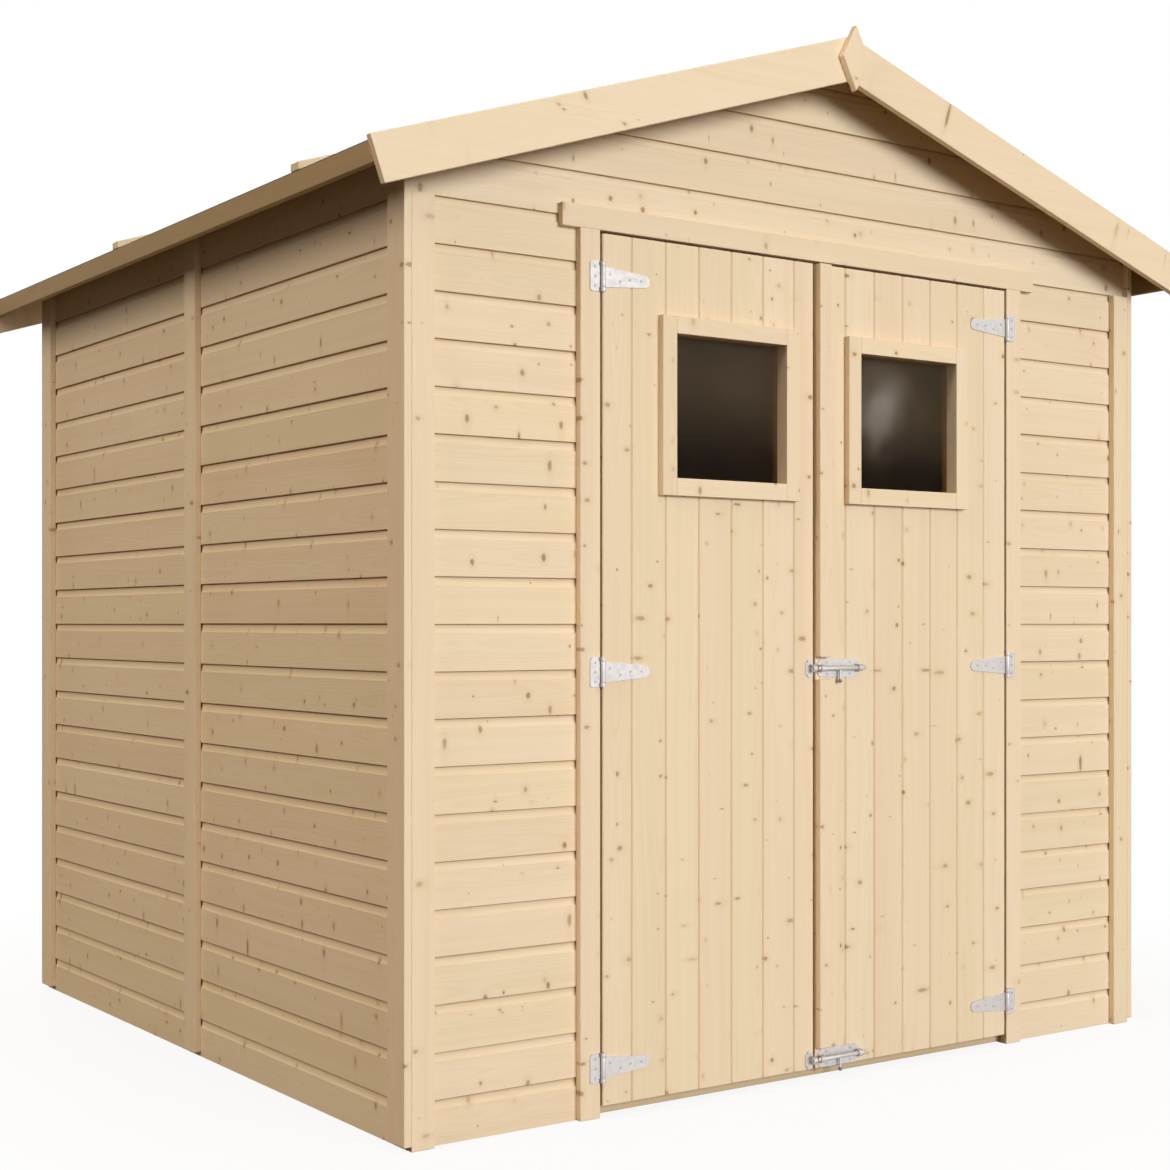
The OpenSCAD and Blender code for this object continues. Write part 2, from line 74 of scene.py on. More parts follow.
# Roof lines: a rise is a height over the walls' slope, measured square to the slope
RIDGE_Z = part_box("front_gable")[1].z
SLOPE = (RIDGE_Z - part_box("right_wall_front")[1].z) / FRAME_X
PITCH = math.atan(SLOPE)
DECK_X, DECK_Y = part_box("roof_right_deck")[1].x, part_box("roof_right_deck")[1].y
EAVE_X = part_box("eave_fascias")[1].x
DECK_RISE, FELT_RISE, BARGE_RISE = (
    (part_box(node)[1].z - RIDGE_Z) * math.cos(PITCH)
    for node in ("roof_right_deck", "roof_felt", "front_bargeboards"))
BATTEN_T = 0.015
BATTEN_RISE = FELT_RISE + BATTEN_T

# Rounding of edges, the clearance under boards and felt on the slope, and the reach of saw and weld
SAWN_EDGE = 0.0018
FINE_EDGE = 0.0012
DECK_EDGE = 0.0015
LEDGE_EDGE = 0.004
FINIAL_EDGE = 0.002
SEAT = 0.00005
SAW_TOLERANCE = 1e-7
WELD = 1e-5

# Seeds of boards, where 0 is kept for the board that is being made
SEEDS = (0.01, 1.0)

# Where a board lies in its log: along it, aside of its heart, and out from its heart
LOG_RUN = 60.0
HEART_ASIDE = 0.04
HEART_OUT = (0.03, 0.055)
END_FACING = 0.8


def roof_z(x, rise=0.0):
    """Height of a line parallel to the slope, over x."""
    return RIDGE_Z + rise / math.cos(PITCH) - abs(x) * SLOPE


def downhill(sign):
    """Direction down the slope of one side."""
    return Vector((sign * math.cos(PITCH), 0, -math.sin(PITCH)))


def roof_cuts(*signs):
    """Planes of the slopes of the given sides, at the walls' tops."""
    return [(Vector((0, 0, roof_z(0))), Vector((sign * SLOPE, 0, 1)).normalized()) for sign in signs]


def side_of(low, high):
    """Sign of the side that a box lies on, and its near and far distance from the middle."""
    sign = 1 if low.x > 0 else -1
    near, far = sorted((abs(low.x), abs(high.x)))
    return sign, near, far


class ShedBoards(bpy.types.PropertyGroup):
    """Sizes of the boards"""
    cover: FloatProperty(
        name="Cover", description="Height that each shiplap board covers", default=0.09, unit="LENGTH")
    scoop_depth: FloatProperty(
        name="Scoop depth", description="Depth of the scoop under each lip", default=0.0045, unit="LENGTH")
    scoop_height: FloatProperty(
        name="Scoop height", description="Height of the scoop under each lip", default=0.016, unit="LENGTH")
    scoop_steps: IntProperty(
        name="Scoop steps", description="Flats that make up the scoop", default=6, min=3)
    lap: FloatProperty(
        name="Lap", description="How far a board reaches up behind the next", default=0.008, unit="LENGTH")
    lip_gap: FloatProperty(
        name="Lip gap", description="Widest gap under a lip", default=0.0030, unit="LENGTH")
    matched: FloatProperty(
        name="Matched cover", description="Width that each board of the doors covers", default=0.0864,
        unit="LENGTH")
    hinge_board: FloatProperty(
        name="Hinge board", description="Width of the board at a door's hinges", default=0.0715,
        unit="LENGTH")
    vee: FloatProperty(
        name="V joint", description="Depth of the V joints of the doors", default=0.003, unit="LENGTH")
    edge: FloatProperty(
        name="Planed edge", description="Rounding of planed edges", default=0.0015, unit="LENGTH")
    deck_cover: FloatProperty(
        name="Deck cover", description="Width that each floor or roof board covers", default=0.094,
        unit="LENGTH")
    barge_width: FloatProperty(
        name="Bargeboard", description="Width of the bargeboards", default=0.09, unit="LENGTH")
    barge_cut: FloatProperty(
        name="Bargeboard cut", description="How far the ends are cut back", default=0.030, unit="LENGTH")
    window_bar: FloatProperty(
        name="Window bar", description="Width of a window frame's bars", default=0.036, unit="LENGTH")


class ShedFinish(bpy.types.PropertyGroup):
    """Colours and grain of the finishes"""
    spruce: FloatVectorProperty(
        name="Spruce", description="Early wood of the planed boards", default=(0.85, 0.70, 0.505),
        subtype="COLOR", min=0, max=1)
    spruce_deep: FloatVectorProperty(
        name="Spruce, deep", description="Late wood of the planed boards", default=(0.66, 0.46, 0.26),
        subtype="COLOR", min=0, max=1)
    knot: FloatVectorProperty(
        name="Knots", description="Heart of the knots", default=(0.34, 0.205, 0.10),
        subtype="COLOR", min=0, max=1)
    sawn: FloatVectorProperty(
        name="Sawn wood", description="Early wood of the frame", default=(0.70, 0.54, 0.34),
        subtype="COLOR", min=0, max=1)
    sawn_deep: FloatVectorProperty(
        name="Sawn wood, deep", description="Late wood of the frame", default=(0.50, 0.34, 0.19),
        subtype="COLOR", min=0, max=1)
    # Painted shade: the roof boards are dark so the soffits under the overhang read dark
    roof: FloatVectorProperty(
        name="Roof boards", description="Early wood of the roof boards", default=(0.25, 0.145, 0.045),
        subtype="COLOR", min=0, max=1)
    roof_deep: FloatVectorProperty(
        name="Roof boards, deep", description="Late wood of the roof boards", default=(0.16, 0.08, 0.02),
        subtype="COLOR", min=0, max=1)
    # Painted shade: the fascias are a darker copy of the planed spruce
    fascia: FloatVectorProperty(
        name="Fascias", description="Early wood of the fascias", default=(0.38, 0.275, 0.15),
        subtype="COLOR", min=0, max=1)
    # Painted shade: the colour that boards take deep in laps and V joints, where shade falls
    joint: FloatVectorProperty(
        name="Joints", description="Wood deep in the joints", default=(0.37, 0.205, 0.062),
        subtype="COLOR", min=0, max=1)
    felt: FloatVectorProperty(
        name="Felt", description="Mineral face of the roofing felt", default=(0.085, 0.088, 0.09),
        subtype="COLOR", min=0, max=1)
    zinc: FloatVectorProperty(
        name="Zinc", description="Bright zinc of the hinges and bolts", default=(0.52, 0.486, 0.466),
        subtype="COLOR", min=0, max=1)
    glass: FloatVectorProperty(
        name="Glass", description="Tint of the panes", default=(0.42, 0.32, 0.20),
        subtype="COLOR", min=0, max=1)
    # Dust and painted reflection: colour of the diffuse film on the panes, which grows towards the top
    dust_and_painted_reflection: FloatVectorProperty(
        name="Dust and painted reflection", description="Film of dust on the panes", default=(0.60, 0.48, 0.33),
        subtype="COLOR", min=0, max=1)
    # Painted reflection: a pale patch on the right pane
    painted_reflection_patch: FloatVectorProperty(
        name="Painted reflection", description="Pale smear on the right pane", default=(0.86, 0.83, 0.78),
        subtype="COLOR", min=0, max=1)
    knot_spacing: FloatProperty(
        name="Knot spacing", description="Usual distance between knots", default=0.082, unit="LENGTH")
    knot_size: FloatProperty(
        name="Knot size", description="Radius of the largest knots", default=0.0078, unit="LENGTH")
    ring_width: FloatProperty(
        name="Ring width", description="Width of one growth ring", default=0.0031, unit="LENGTH")


class ShedStage(bpy.types.PropertyGroup):
    """Camera, lamps and floor"""
    lens: FloatProperty(name="Lens", description="Focal length in millimetres", default=58.6)
    eye: FloatVectorProperty(
        name="Eye", description="Place of the camera", default=(-2.7825, -4.0851, 0.9871), subtype="XYZ")
    yaw: FloatProperty(
        name="Yaw", description="Turn of the camera to the right", default=math.radians(34.95),
        subtype="ANGLE")
    rise: FloatProperty(
        name="Rise", description="Upright shift of the lens, as a share of the frame", default=0.03242)
    key: FloatProperty(name="Key", description="Level of the key lamp on the front", default=0.885)
    key_tint: FloatVectorProperty(
        name="Key tint", description="Colour of the key lamp", default=(0.935, 0.965, 1.0), subtype="COLOR",
        min=0, max=1)
    key_place: FloatVectorProperty(
        name="Key place", description="Place of the key lamp", default=(1.2, -17.0, 4.1), subtype="XYZ")
    key_size: FloatProperty(
        name="Key size", description="Width of the key, back and right lamps", default=9.0, unit="LENGTH")
    key_height: FloatProperty(
        name="Key height", description="Height of the key, back and right lamps", default=6.0, unit="LENGTH")
    side: FloatProperty(name="Side", description="Level of the side lamp on the left wall", default=0.41)
    side_tint: FloatVectorProperty(
        name="Side tint", description="Colour of the side lamp", default=(1.0, 0.93, 0.86), subtype="COLOR",
        min=0, max=1)
    side_place: FloatVectorProperty(
        name="Side place", description="Place of the side lamp", default=(-13.2, -2.0, 9.0), subtype="XYZ")
    side_length: FloatProperty(
        name="Side length", description="Length of the side lamp", default=5.0, unit="LENGTH")
    side_height: FloatProperty(
        name="Side height", description="Height of the side lamp", default=9.0, unit="LENGTH")
    back: FloatProperty(name="Back", description="Level of the lamp behind the shed", default=0.52)
    back_place: FloatVectorProperty(
        name="Back place", description="Place of the lamp behind the shed", default=(1.0, 17.0, 4.5),
        subtype="XYZ")
    right: FloatProperty(name="Right", description="Level of the lamp on the right wall", default=0.22)
    right_place: FloatVectorProperty(
        name="Right place", description="Place of the lamp on the right", default=(15.0, 2.0, 6.0),
        subtype="XYZ")
    sky: FloatVectorProperty(
        name="Sky", description="Soft light from overhead", default=(0.50, 0.39, 0.22), subtype="COLOR",
        min=0, max=1)
    floor: FloatVectorProperty(
        name="Floor", description="Colour of the pale floor", default=(0.80, 0.79, 0.77), subtype="COLOR",
        min=0, max=1)
    bounce: FloatVectorProperty(
        name="Bounce", description="Share of its light that the floor sends back",
        default=(0.045, 0.027, 0.004), subtype="COLOR", min=0, max=1)
    floor_width: FloatProperty(
        name="Floor width", description="Width of the floor", default=60.0, unit="LENGTH")


def board_sizes():
    """Sizes of the boards, as set in the sidebar."""
    return bpy.context.scene.shed_boards


def opaque(colour):
    """A colour as a socket takes it."""
    return (*colour, 1.0)


def shade(colour, share):
    """A colour made darker or lighter, as a socket takes it."""
    return opaque([share * part for part in colour])


class Graph:
    """A node tree filled by short calls, where a value is a number, a colour or another node's socket."""

    def __init__(self, tree):
        self.tree = tree

    def add(self, kind, values=None, **settings):
        node = self.tree.nodes.new(kind)
        for name, value in settings.items():
            setattr(node, name, value)
        self.fill(node, values or {})
        return node

    def fill(self, node, values):
        for key, value in values.items():
            self.feed(node.inputs[key], value)

    def feed(self, socket, value):
        if isinstance(value, bpy.types.NodeSocket):
            self.tree.links.new(value, socket)
        else:
            socket.default_value = value

    def math(self, operation, *values):
        return self.add("ShaderNodeMath", dict(enumerate(values)), operation=operation).outputs[0]

    def times(self, first, second):
        return self.math("MULTIPLY", first, second)

    def plus(self, first, second):
        return self.math("ADD", first, second)

    def total(self, first, *others):
        """Sum of values, each given with its weight."""
        result = self.times(*first)
        for other in others:
            result = self.plus(result, self.times(*other))
        return result

    def spread(self, value, low, high, start=0.0, end=1.0):
        """Eases from start to end while the value goes from low to high."""
        values = {"Value": value, "From Min": low, "From Max": high, "To Min": start, "To Max": end}
        return self.add("ShaderNodeMapRange", values, interpolation_type="SMOOTHSTEP").outputs["Result"]

    def mix(self, share, first, second, blend="MIX"):
        node = self.add("ShaderNodeMix", {0: share, 6: first, 7: second}, data_type="RGBA", blend_type=blend)
        return node.outputs[2]

    def vector(self, operation, values, output="Vector"):
        return self.add("ShaderNodeVectorMath", values, operation=operation).outputs[output]

    def combine(self, x, y, z):
        return self.add("ShaderNodeCombineXYZ", {"X": x, "Y": y, "Z": z}).outputs["Vector"]

    def axes(self, vector):
        return self.add("ShaderNodeSeparateXYZ", {"Vector": vector}).outputs

    def channels(self, colour):
        return self.add("ShaderNodeSeparateColor", {"Color": colour}).outputs

    def attribute(self, name, output="Fac"):
        return self.add("ShaderNodeAttribute", attribute_name=name).outputs[output]

    def place(self, kind="Object"):
        return self.add("ShaderNodeTexCoord").outputs[kind]

    def noise(self, place, scale, detail=2.0, output="Fac"):
        values = {"Vector": place, "Scale": scale, "Detail": detail}
        return self.add("ShaderNodeTexNoise", values).outputs[output]

    def cells(self, place, size, dimensions="3D"):
        values = {"Vector": place, "Scale": self.math("DIVIDE", 1.0, size)}
        return self.add("ShaderNodeTexVoronoi", values, voronoi_dimensions=dimensions).outputs

    def group(self, name, values):
        return self.add("ShaderNodeGroup", values, node_tree=bpy.data.node_groups[name]).outputs

    def bump(self, height, strength, distance):
        values = {"Height": height, "Strength": strength, "Distance": distance}
        return self.add("ShaderNodeBump", values).outputs["Normal"]

    def blend(self, share, first, second):
        """Mix of two shaders."""
        values = {0: share, 1: first.outputs[0], 2: second.outputs[0]}
        return self.add("ShaderNodeMixShader", values).outputs[0]


SOCKETS = {"value": "NodeSocketFloat", "vector": "NodeSocketVector", "colour": "NodeSocketColor"}


def shader_group(name, inputs, outputs):
    """An empty shader group with named sockets: its graph, its inputs and its outputs."""
    tree = bpy.data.node_groups.new(name, "ShaderNodeTree")
    for in_out, sockets in (("INPUT", inputs), ("OUTPUT", outputs)):
        for label, kind in sockets.items():
            tree.interface.new_socket(label, in_out=in_out, socket_type=SOCKETS[kind])
    graph = Graph(tree)
    entry = graph.add("NodeGroupInput").outputs
    result = graph.add("NodeGroupOutput")
    return graph, entry, result


def knots_group():
    """Branches that run out from the heart of the log: their hearts, their rims and how dark they are."""
    graph, entry, result = shader_group(
        "Knots", {"Grain": "vector", "Spacing": "value", "Size": "value"},
        {"Heart": "value", "Rim": "value", "Shade": "value"})
    log_radius, stretch = 0.045, 1.1
    rag_scale, rag_reach, middle = 160.0, 0.004, (0.5, 0.5, 0.5)
    draws, sizes, shades = (0.1, 1.0), (0.25, 1.0), (0.30, 0.95)
    core, surround = 0.35, 2.6
    grain = graph.axes(entry["Grain"])
    round_log = graph.times(graph.math("ARCTAN2", grain["Y"], grain["Z"]), log_radius)
    ragged = graph.noise(entry["Grain"], rag_scale, output="Color")
    ragged = graph.vector("SUBTRACT", {0: ragged, 1: middle})
    ragged = graph.vector("SCALE", {0: ragged, "Scale": rag_reach})
    flat = graph.combine(graph.times(grain["X"], stretch), round_log, 0.0)
    cells = graph.cells(graph.vector("ADD", {0: flat, 1: ragged}), entry["Spacing"], "2D")
    away = graph.times(cells["Distance"], entry["Spacing"])
    draw = graph.channels(cells["Color"])
    radius = graph.times(graph.spread(draw["Red"], *draws, *sizes), entry["Size"])
    graph.fill(result, {
        "Heart": graph.spread(away, graph.times(radius, core), radius, 1.0, 0.0),
        "Rim": graph.spread(away, radius, graph.times(radius, surround), 1.0, 0.0),
        "Shade": graph.spread(draw["Green"], 0.0, 1.0, *shades)})


def rings_group():
    """Growth rings round the heart of the log, which wander along it and part round knots."""
    graph, entry, result = shader_group(
        "Growth rings", {"Grain": "vector", "Rim": "value", "Width": "value", "Wander": "value"},
        {"Late": "value", "Streak": "value", "Fibre": "value"})
    sway_row, sway_scale, middle = (4.7, 8.3), 1.7, 0.5
    knot_push = 0.0035
    late_starts, late_ends = (0.35, 0.9), (0.93, 1.0)
    band_across, band_along = 85.0, 0.9
    fibre_along, fibre_across = 22.0, 900.0
    grain = graph.axes(entry["Grain"])
    run = graph.combine(grain["X"], *sway_row)
    sway = graph.channels(graph.noise(run, sway_scale, detail=3.0, output="Color"))
    across, through = (
        graph.plus(grain[axis], graph.times(graph.math("SUBTRACT", sway[channel], middle), entry["Wander"]))
        for axis, channel in (("Y", "Red"), ("Z", "Green")))
    reach = graph.math("SQRT", graph.plus(graph.times(across, across), graph.times(through, through)))
    reach = graph.plus(reach, graph.times(entry["Rim"], knot_push))
    ring = graph.math("FRACT", graph.math("DIVIDE", reach, entry["Width"]))
    bands = graph.combine(graph.times(reach, band_across), graph.times(grain["X"], band_along), 0.0)
    fibres = graph.combine(
        graph.times(grain["X"], fibre_along), graph.times(grain["Y"], fibre_across),
        graph.times(grain["Z"], fibre_across))
    graph.fill(result, {
        "Late": graph.times(graph.spread(ring, *late_starts), graph.spread(ring, *late_ends, 1.0, 0.0)),
        "Streak": graph.noise(bands, scale=1.0, detail=3.0),
        "Fibre": graph.noise(fibres, scale=1.0)})


BOARD_TINTS = (
    (0.0, (0.96, 0.925, 0.90)), (0.3, (1.0, 1.0, 1.0)), (0.55, (0.985, 0.955, 0.955)),
    (0.8, (0.955, 0.95, 0.91)), (1.0, (1.0, 0.985, 0.94)))


def timber_group():
    """Colour, relief and roughness of a board, from its grain, its seed, its sawn ends, and the painted shade
    in its joints.
    """
    graph, entry, result = shader_group(
        "Timber",
        {"Early": "colour", "Deep": "colour", "Knot": "colour", "Painted joint shade": "colour", "Spacing": "value",
         "Size": "value", "Width": "value", "Contrast": "value"},
        {"Colour": "colour", "Height": "value", "Roughness": "value"})
    wander, streaks = 0.03, (0.35, 0.72)
    late_depth, streak_depth, fibre_depth = 0.22, 0.34, 0.12
    rim_share, heart_share, end_share = 0.20, 0.92, 0.35
    late_relief, fibre_relief, heart_relief = 0.5, 0.5, -0.6
    fibres, roughness = (0.2, 0.8), (0.56, 0.72)
    grain = graph.attribute("grain", "Vector")
    knots = graph.group("Knots", {"Grain": grain, "Spacing": entry["Spacing"], "Size": entry["Size"]})
    rings = graph.group(
        "Growth rings", {"Grain": grain, "Rim": knots["Rim"], "Width": entry["Width"], "Wander": wander})
    late, fibre, heart = rings["Late"], rings["Fibre"], knots["Heart"]
    streak = graph.spread(rings["Streak"], *streaks)
    depth = graph.total((late, late_depth), (streak, streak_depth), (fibre, fibre_depth))
    colour = graph.mix(graph.times(depth, entry["Contrast"]), entry["Early"], entry["Deep"])
    tint = graph.add("ShaderNodeValToRGB", {"Fac": graph.attribute("board")})
    stops = tint.color_ramp.elements
    first, *between, last = BOARD_TINTS
    stops[0].color = opaque(first[1])
    stops[1].color = opaque(last[1])
    for place, tone in between:
        stops.new(place).color = opaque(tone)
    colour = graph.mix(1.0, colour, tint.outputs["Color"], "MULTIPLY")
    colour = graph.mix(graph.times(knots["Rim"], rim_share), colour, entry["Deep"])
    colour = graph.mix(graph.times(heart, graph.times(knots["Shade"], heart_share)), colour, entry["Knot"])
    colour = graph.mix(graph.times(graph.attribute("end"), end_share), colour, entry["Deep"])
    # The joint attribute mixes the colour towards the joint colour: painted shade in laps and V joints
    graph.fill(result, {
        "Colour": graph.mix(graph.attribute("joint"), colour, entry["Painted joint shade"]),
        "Height": graph.total((late, late_relief), (fibre, fibre_relief), (heart, heart_relief)),
        "Roughness": graph.spread(fibre, *fibres, *roughness)})


def chips_group():
    """Mineral chips: their tone and height."""
    graph, entry, result = shader_group(
        "Mineral chips", {"Place": "vector", "Size": "value"}, {"Tone": "value", "Height": "value"})
    flank = 0.6
    cells = graph.cells(entry["Place"], entry["Size"])
    graph.fill(result, {
        "Tone": graph.channels(cells["Color"])["Red"],
        "Height": graph.spread(cells["Distance"], 0.0, flank, 1.0, 0.0)})


def new_material(name):
    """An empty material: its graph, its shader and its output."""
    material = bpy.data.materials.new(name)
    material.use_nodes = True
    material.node_tree.nodes.clear()
    graph = Graph(material.node_tree)
    shader = graph.add("ShaderNodeBsdfPrincipled")
    output = graph.add("ShaderNodeOutputMaterial", {"Surface": shader.outputs["BSDF"]})
    return graph, shader, output


def wood_material(name, early, deep, contrast, relief, shine):
    """A board's finish."""
    finish = bpy.context.scene.shed_finish
    graph, shader, _ = new_material(name)
    timber = graph.group("Timber", {
        "Early": opaque(early), "Deep": opaque(deep), "Knot": opaque(finish.knot),
        "Painted joint shade": opaque(finish.joint), "Spacing": finish.knot_spacing, "Size": finish.knot_size,
        "Width": finish.ring_width, "Contrast": contrast})
    graph.fill(shader, {
        "Base Color": timber["Colour"], "Roughness": timber["Roughness"], "Specular IOR Level": shine,
        "Normal": graph.bump(timber["Height"], strength=0.5, distance=relief)})


def felt_material():
    """Mineral-faced roofing felt, cloudy and sprinkled with pale chips."""
    graph, shader, _ = new_material("roofing felt")
    darkest, lightest, pale = 0.7, 1.25, 3.2
    base = bpy.context.scene.shed_finish.felt
    place = graph.place()
    chips = graph.group("Mineral chips", {"Place": place, "Size": 0.0022})
    cloud = graph.noise(place, scale=3.0, detail=4.0)
    dark = graph.mix(cloud, shade(base, darkest), shade(base, lightest))
    graph.fill(shader, {
        "Base Color": graph.mix(graph.spread(chips["Tone"], low=0.7, high=1.0), dark, shade(base, pale)),
        "Normal": graph.bump(chips["Height"], strength=0.7, distance=0.0006), "Roughness": 0.92})


def zinc_material(name, tone, roughness):
    """Galvanised steel: a faint spangle, and a cloudy gloss."""
    graph, shader, _ = new_material(name)
    spangle, spangle_tone, smoother, rougher = 0.5, 0.82, 0.06, 0.08
    base = [tone * part for part in bpy.context.scene.shed_finish.zinc]
    place = graph.place()
    chips = graph.group("Mineral chips", {"Place": place, "Size": 0.006})
    cloud = graph.noise(place, scale=90.0, detail=3.0)
    graph.fill(shader, {
        "Base Color": graph.mix(
            graph.times(chips["Tone"], spangle), opaque(base), shade(base, spangle_tone)),
        "Roughness": graph.spread(
            cloud, low=0.3, high=0.7, start=roughness - smoother, end=roughness + rougher),
        "Normal": graph.bump(cloud, strength=0.12, distance=0.0004), "Metallic": 0.85})


def glass_material():
    """A pane under a cloudy diffuse film, partly dust and partly painted reflection, that thickens towards
    its top, with one pale patch of painted reflection.
    """
    finish = bpy.context.scene.shed_finish
    graph, shader, output = new_material("window glass")
    # Painted reflection: a pale patch on the right pane
    painted_reflection_place, painted_reflection_share = (0.20, -CLAD_Y, 1.45), 0.10
    painted_reflection_reach, painted_reflection_clouds = (0.02, 0.15), (0.3, 0.6)
    # The diffuse film is dust, and it grows towards the top of the pane as painted reflection
    film_heights, film_shares = (1.30, 1.50), (0.006, 0.055)
    film_clouds, film_swing = (0.2, 0.8), (0.8, 1.2)
    graph.fill(shader, {
        "Base Color": opaque(finish.glass), "Roughness": 0.3, "IOR": 1.1, "Transmission Weight": 1.0})
    place = graph.place()
    cloud = graph.noise(place, scale=6.5, detail=3.0)
    span = graph.vector("DISTANCE", {0: place, 1: painted_reflection_place}, "Value")
    painted_reflection_patch = graph.times(graph.spread(span, *painted_reflection_reach, 1.0, 0.0), graph.spread(cloud, *painted_reflection_clouds))
    tint = graph.mix(painted_reflection_patch, opaque(finish.dust_and_painted_reflection), opaque(finish.painted_reflection_patch))
    dust_and_painted_reflection = graph.add("ShaderNodeBsdfDiffuse", {"Color": tint})
    film = graph.times(
        graph.spread(graph.axes(place)["Z"], *film_heights, *film_shares),
        graph.spread(cloud, *film_clouds, *film_swing))
    share = graph.plus(film, graph.times(painted_reflection_patch, painted_reflection_share))
    graph.fill(output, {"Surface": graph.blend(share, shader, dust_and_painted_reflection)})


def bevel(mesh, edges, width, segments):
    """Eases edges."""
    bmesh.ops.bevel(
        mesh, geom=list(dict.fromkeys(edges)), offset=width, offset_type="OFFSET", segments=segments,
        profile=0.5, affect="EDGES", material=-1, clamp_overlap=True)


def extrude(mesh, corners, run):
    """Closes new corners to a face and runs it along a line: the far corners."""
    face = mesh.faces.new(corners)
    grown = bmesh.ops.extrude_face_region(mesh, geom=[face])["geom"]
    verts = [part for part in grown if isinstance(part, bmesh.types.BMVert)]
    bmesh.ops.translate(mesh, vec=run, verts=verts)
    return verts


class Timber:
    """A piece made of boards. Each board has its own grain: metres along, across and through its log."""

    def __init__(self, node, kind="boards"):
        self.node = node
        self.name = f"{node}_{kind}"
        self.mesh = bmesh.new()
        self.grain = self.mesh.verts.layers.float_vector.new("grain")
        # Painted shade: how deep each corner lies in a joint
        self.joint = self.mesh.verts.layers.float.new("joint")
        self.board = self.mesh.faces.layers.float.new("board")
        self.end = self.mesh.faces.layers.float.new("end")
        self.draw = random.Random(self.name)

    def fresh(self):
        """Faces of the board that is being made."""
        return [face for face in self.mesh.faces if face[self.board] == 0]

    def round_edges(self, width):
        bevel(self.mesh, [edge for face in self.fresh() for edge in face.edges], width, segments=2)

    def plank(self, low, high, width):
        """A board between two corners, with rounded edges."""
        verts = bmesh.ops.create_cube(self.mesh, size=1.0)["verts"]
        bmesh.ops.scale(self.mesh, vec=high - low, verts=verts)
        bmesh.ops.translate(self.mesh, vec=(low + high) / 2, verts=verts)
        self.round_edges(width)

    def prism(self, outline, run, depths=()):
        """A board whose section is drawn point by point and run along a line."""
        corners = [self.mesh.verts.new(point) for point in outline]
        for corner, depth in zip(corners, depths):
            corner[self.joint] = depth
        extrude(self.mesh, corners, run)

    def on_roof(self, sign, section, front, back):
        """A board from front to back, whose section gives distances from the middle and rises."""
        self.prism([Vector((sign * x, front, roof_z(x, rise))) for x, rise in section], (back - front) * Y)

    def saw(self, point, away):
        """Saws the new board off at a plane and closes the cut."""
        faces = self.fresh()
        edges = list(dict.fromkeys(edge for face in faces for edge in face.edges))
        verts = list(dict.fromkeys(vert for face in faces for vert in face.verts))
        cut = bmesh.ops.bisect_plane(
            self.mesh, geom=verts + edges + faces, dist=SAW_TOLERANCE, plane_co=point, plane_no=away,
            clear_outer=True)["geom_cut"]
        rim = [part for part in cut if isinstance(part, bmesh.types.BMEdge)]
        bmesh.ops.holes_fill(self.mesh, edges=rim, sides=0)

    def settle(self, along, across):
        """Gives the new board its grain and its seed, and marks its sawn ends."""
        self.mesh.normal_update()
        faces = self.fresh()
        verts = list(dict.fromkeys(vert for face in faces for vert in face.verts))
        through = along.cross(across)
        middle = sum((vert.co for vert in verts), Vector()) / len(verts)
        seed = self.draw.uniform(*SEEDS)
        start = self.draw.uniform(0.0, LOG_RUN)
        aside = self.draw.uniform(-HEART_ASIDE, HEART_ASIDE)
        out = self.draw.choice((-1, 1)) * self.draw.uniform(*HEART_OUT)
        for vert in verts:
            place = vert.co - middle
            vert[self.grain] = (place.dot(along) + start, place.dot(across) + aside, place.dot(through) + out)
        for face in faces:
            face[self.board] = seed
            face[self.end] = 1.0 if abs(face.normal.dot(along)) > END_FACING else 0.0

    def done(self, material="planed spruce", slot="pale_wood", body="shed"):
        make_object(self.name, self.mesh, [material], body, self.node)


def make_object(name, mesh, materials, body, node):
    """Turns faces outwards, dresses the piece and sets it on its body in place of its node."""
    bmesh.ops.recalc_face_normals(mesh, faces=mesh.faces)
    data = bpy.data.meshes.new(name)
    mesh.to_mesh(data)
    mesh.free()
    for material in materials:
        data.materials.append(bpy.data.materials[material])
    piece = bpy.data.objects.new(name, data)
    bpy.context.scene.collection.objects.link(piece)
    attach(piece, body)
    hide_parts(node)


def solids(node):
    """Lowest and highest corner of each solid of a CAD node, in order."""
    mesh = bmesh.new()
    mesh.from_mesh(frame["nodes"][node].data)
    bmesh.ops.remove_doubles(mesh, verts=mesh.verts, dist=WELD)
    found, seen = [], set()
    for first in mesh.verts:
        if first in seen:
            continue
        island, waiting = [], [first]
        seen.add(first)
        while waiting:
            vert = waiting.pop()
            island.append(vert.co.copy())
            for edge in vert.link_edges:
                other = edge.other_vert(vert)
                if other not in seen:
                    seen.add(other)
                    waiting.append(other)
        low = tuple(min(place[i] for place in island) for i in range(3))
        high = tuple(max(place[i] for place in island) for i in range(3))
        found.append((low, high))
    mesh.free()
    return [(Vector(low), Vector(high)) for low, high in sorted(found)]


def planks(node, along, across, edge=None, **dress):
    """Boards in place of a node's plain solids."""
    timber = Timber(node)
    for low, high in solids(node):
        timber.plank(low, high, edge or board_sizes().edge)
        timber.settle(along, across)
    timber.done(**dress)


def longways(node):
    """Sawn timbers in place of a node's plain solids, each with its grain along its longest side."""
    timber = Timber(node, "timbers")
    for low, high in solids(node):
        size = high - low
        longest, next_longest, _ = sorted(range(3), key=lambda i: -size[i])
        timber.plank(low, high, SAWN_EDGE)
        timber.settle((X, Y, Z)[longest], (X, Y, Z)[next_longest])
    timber.done("sawn spruce", "frame_wood")


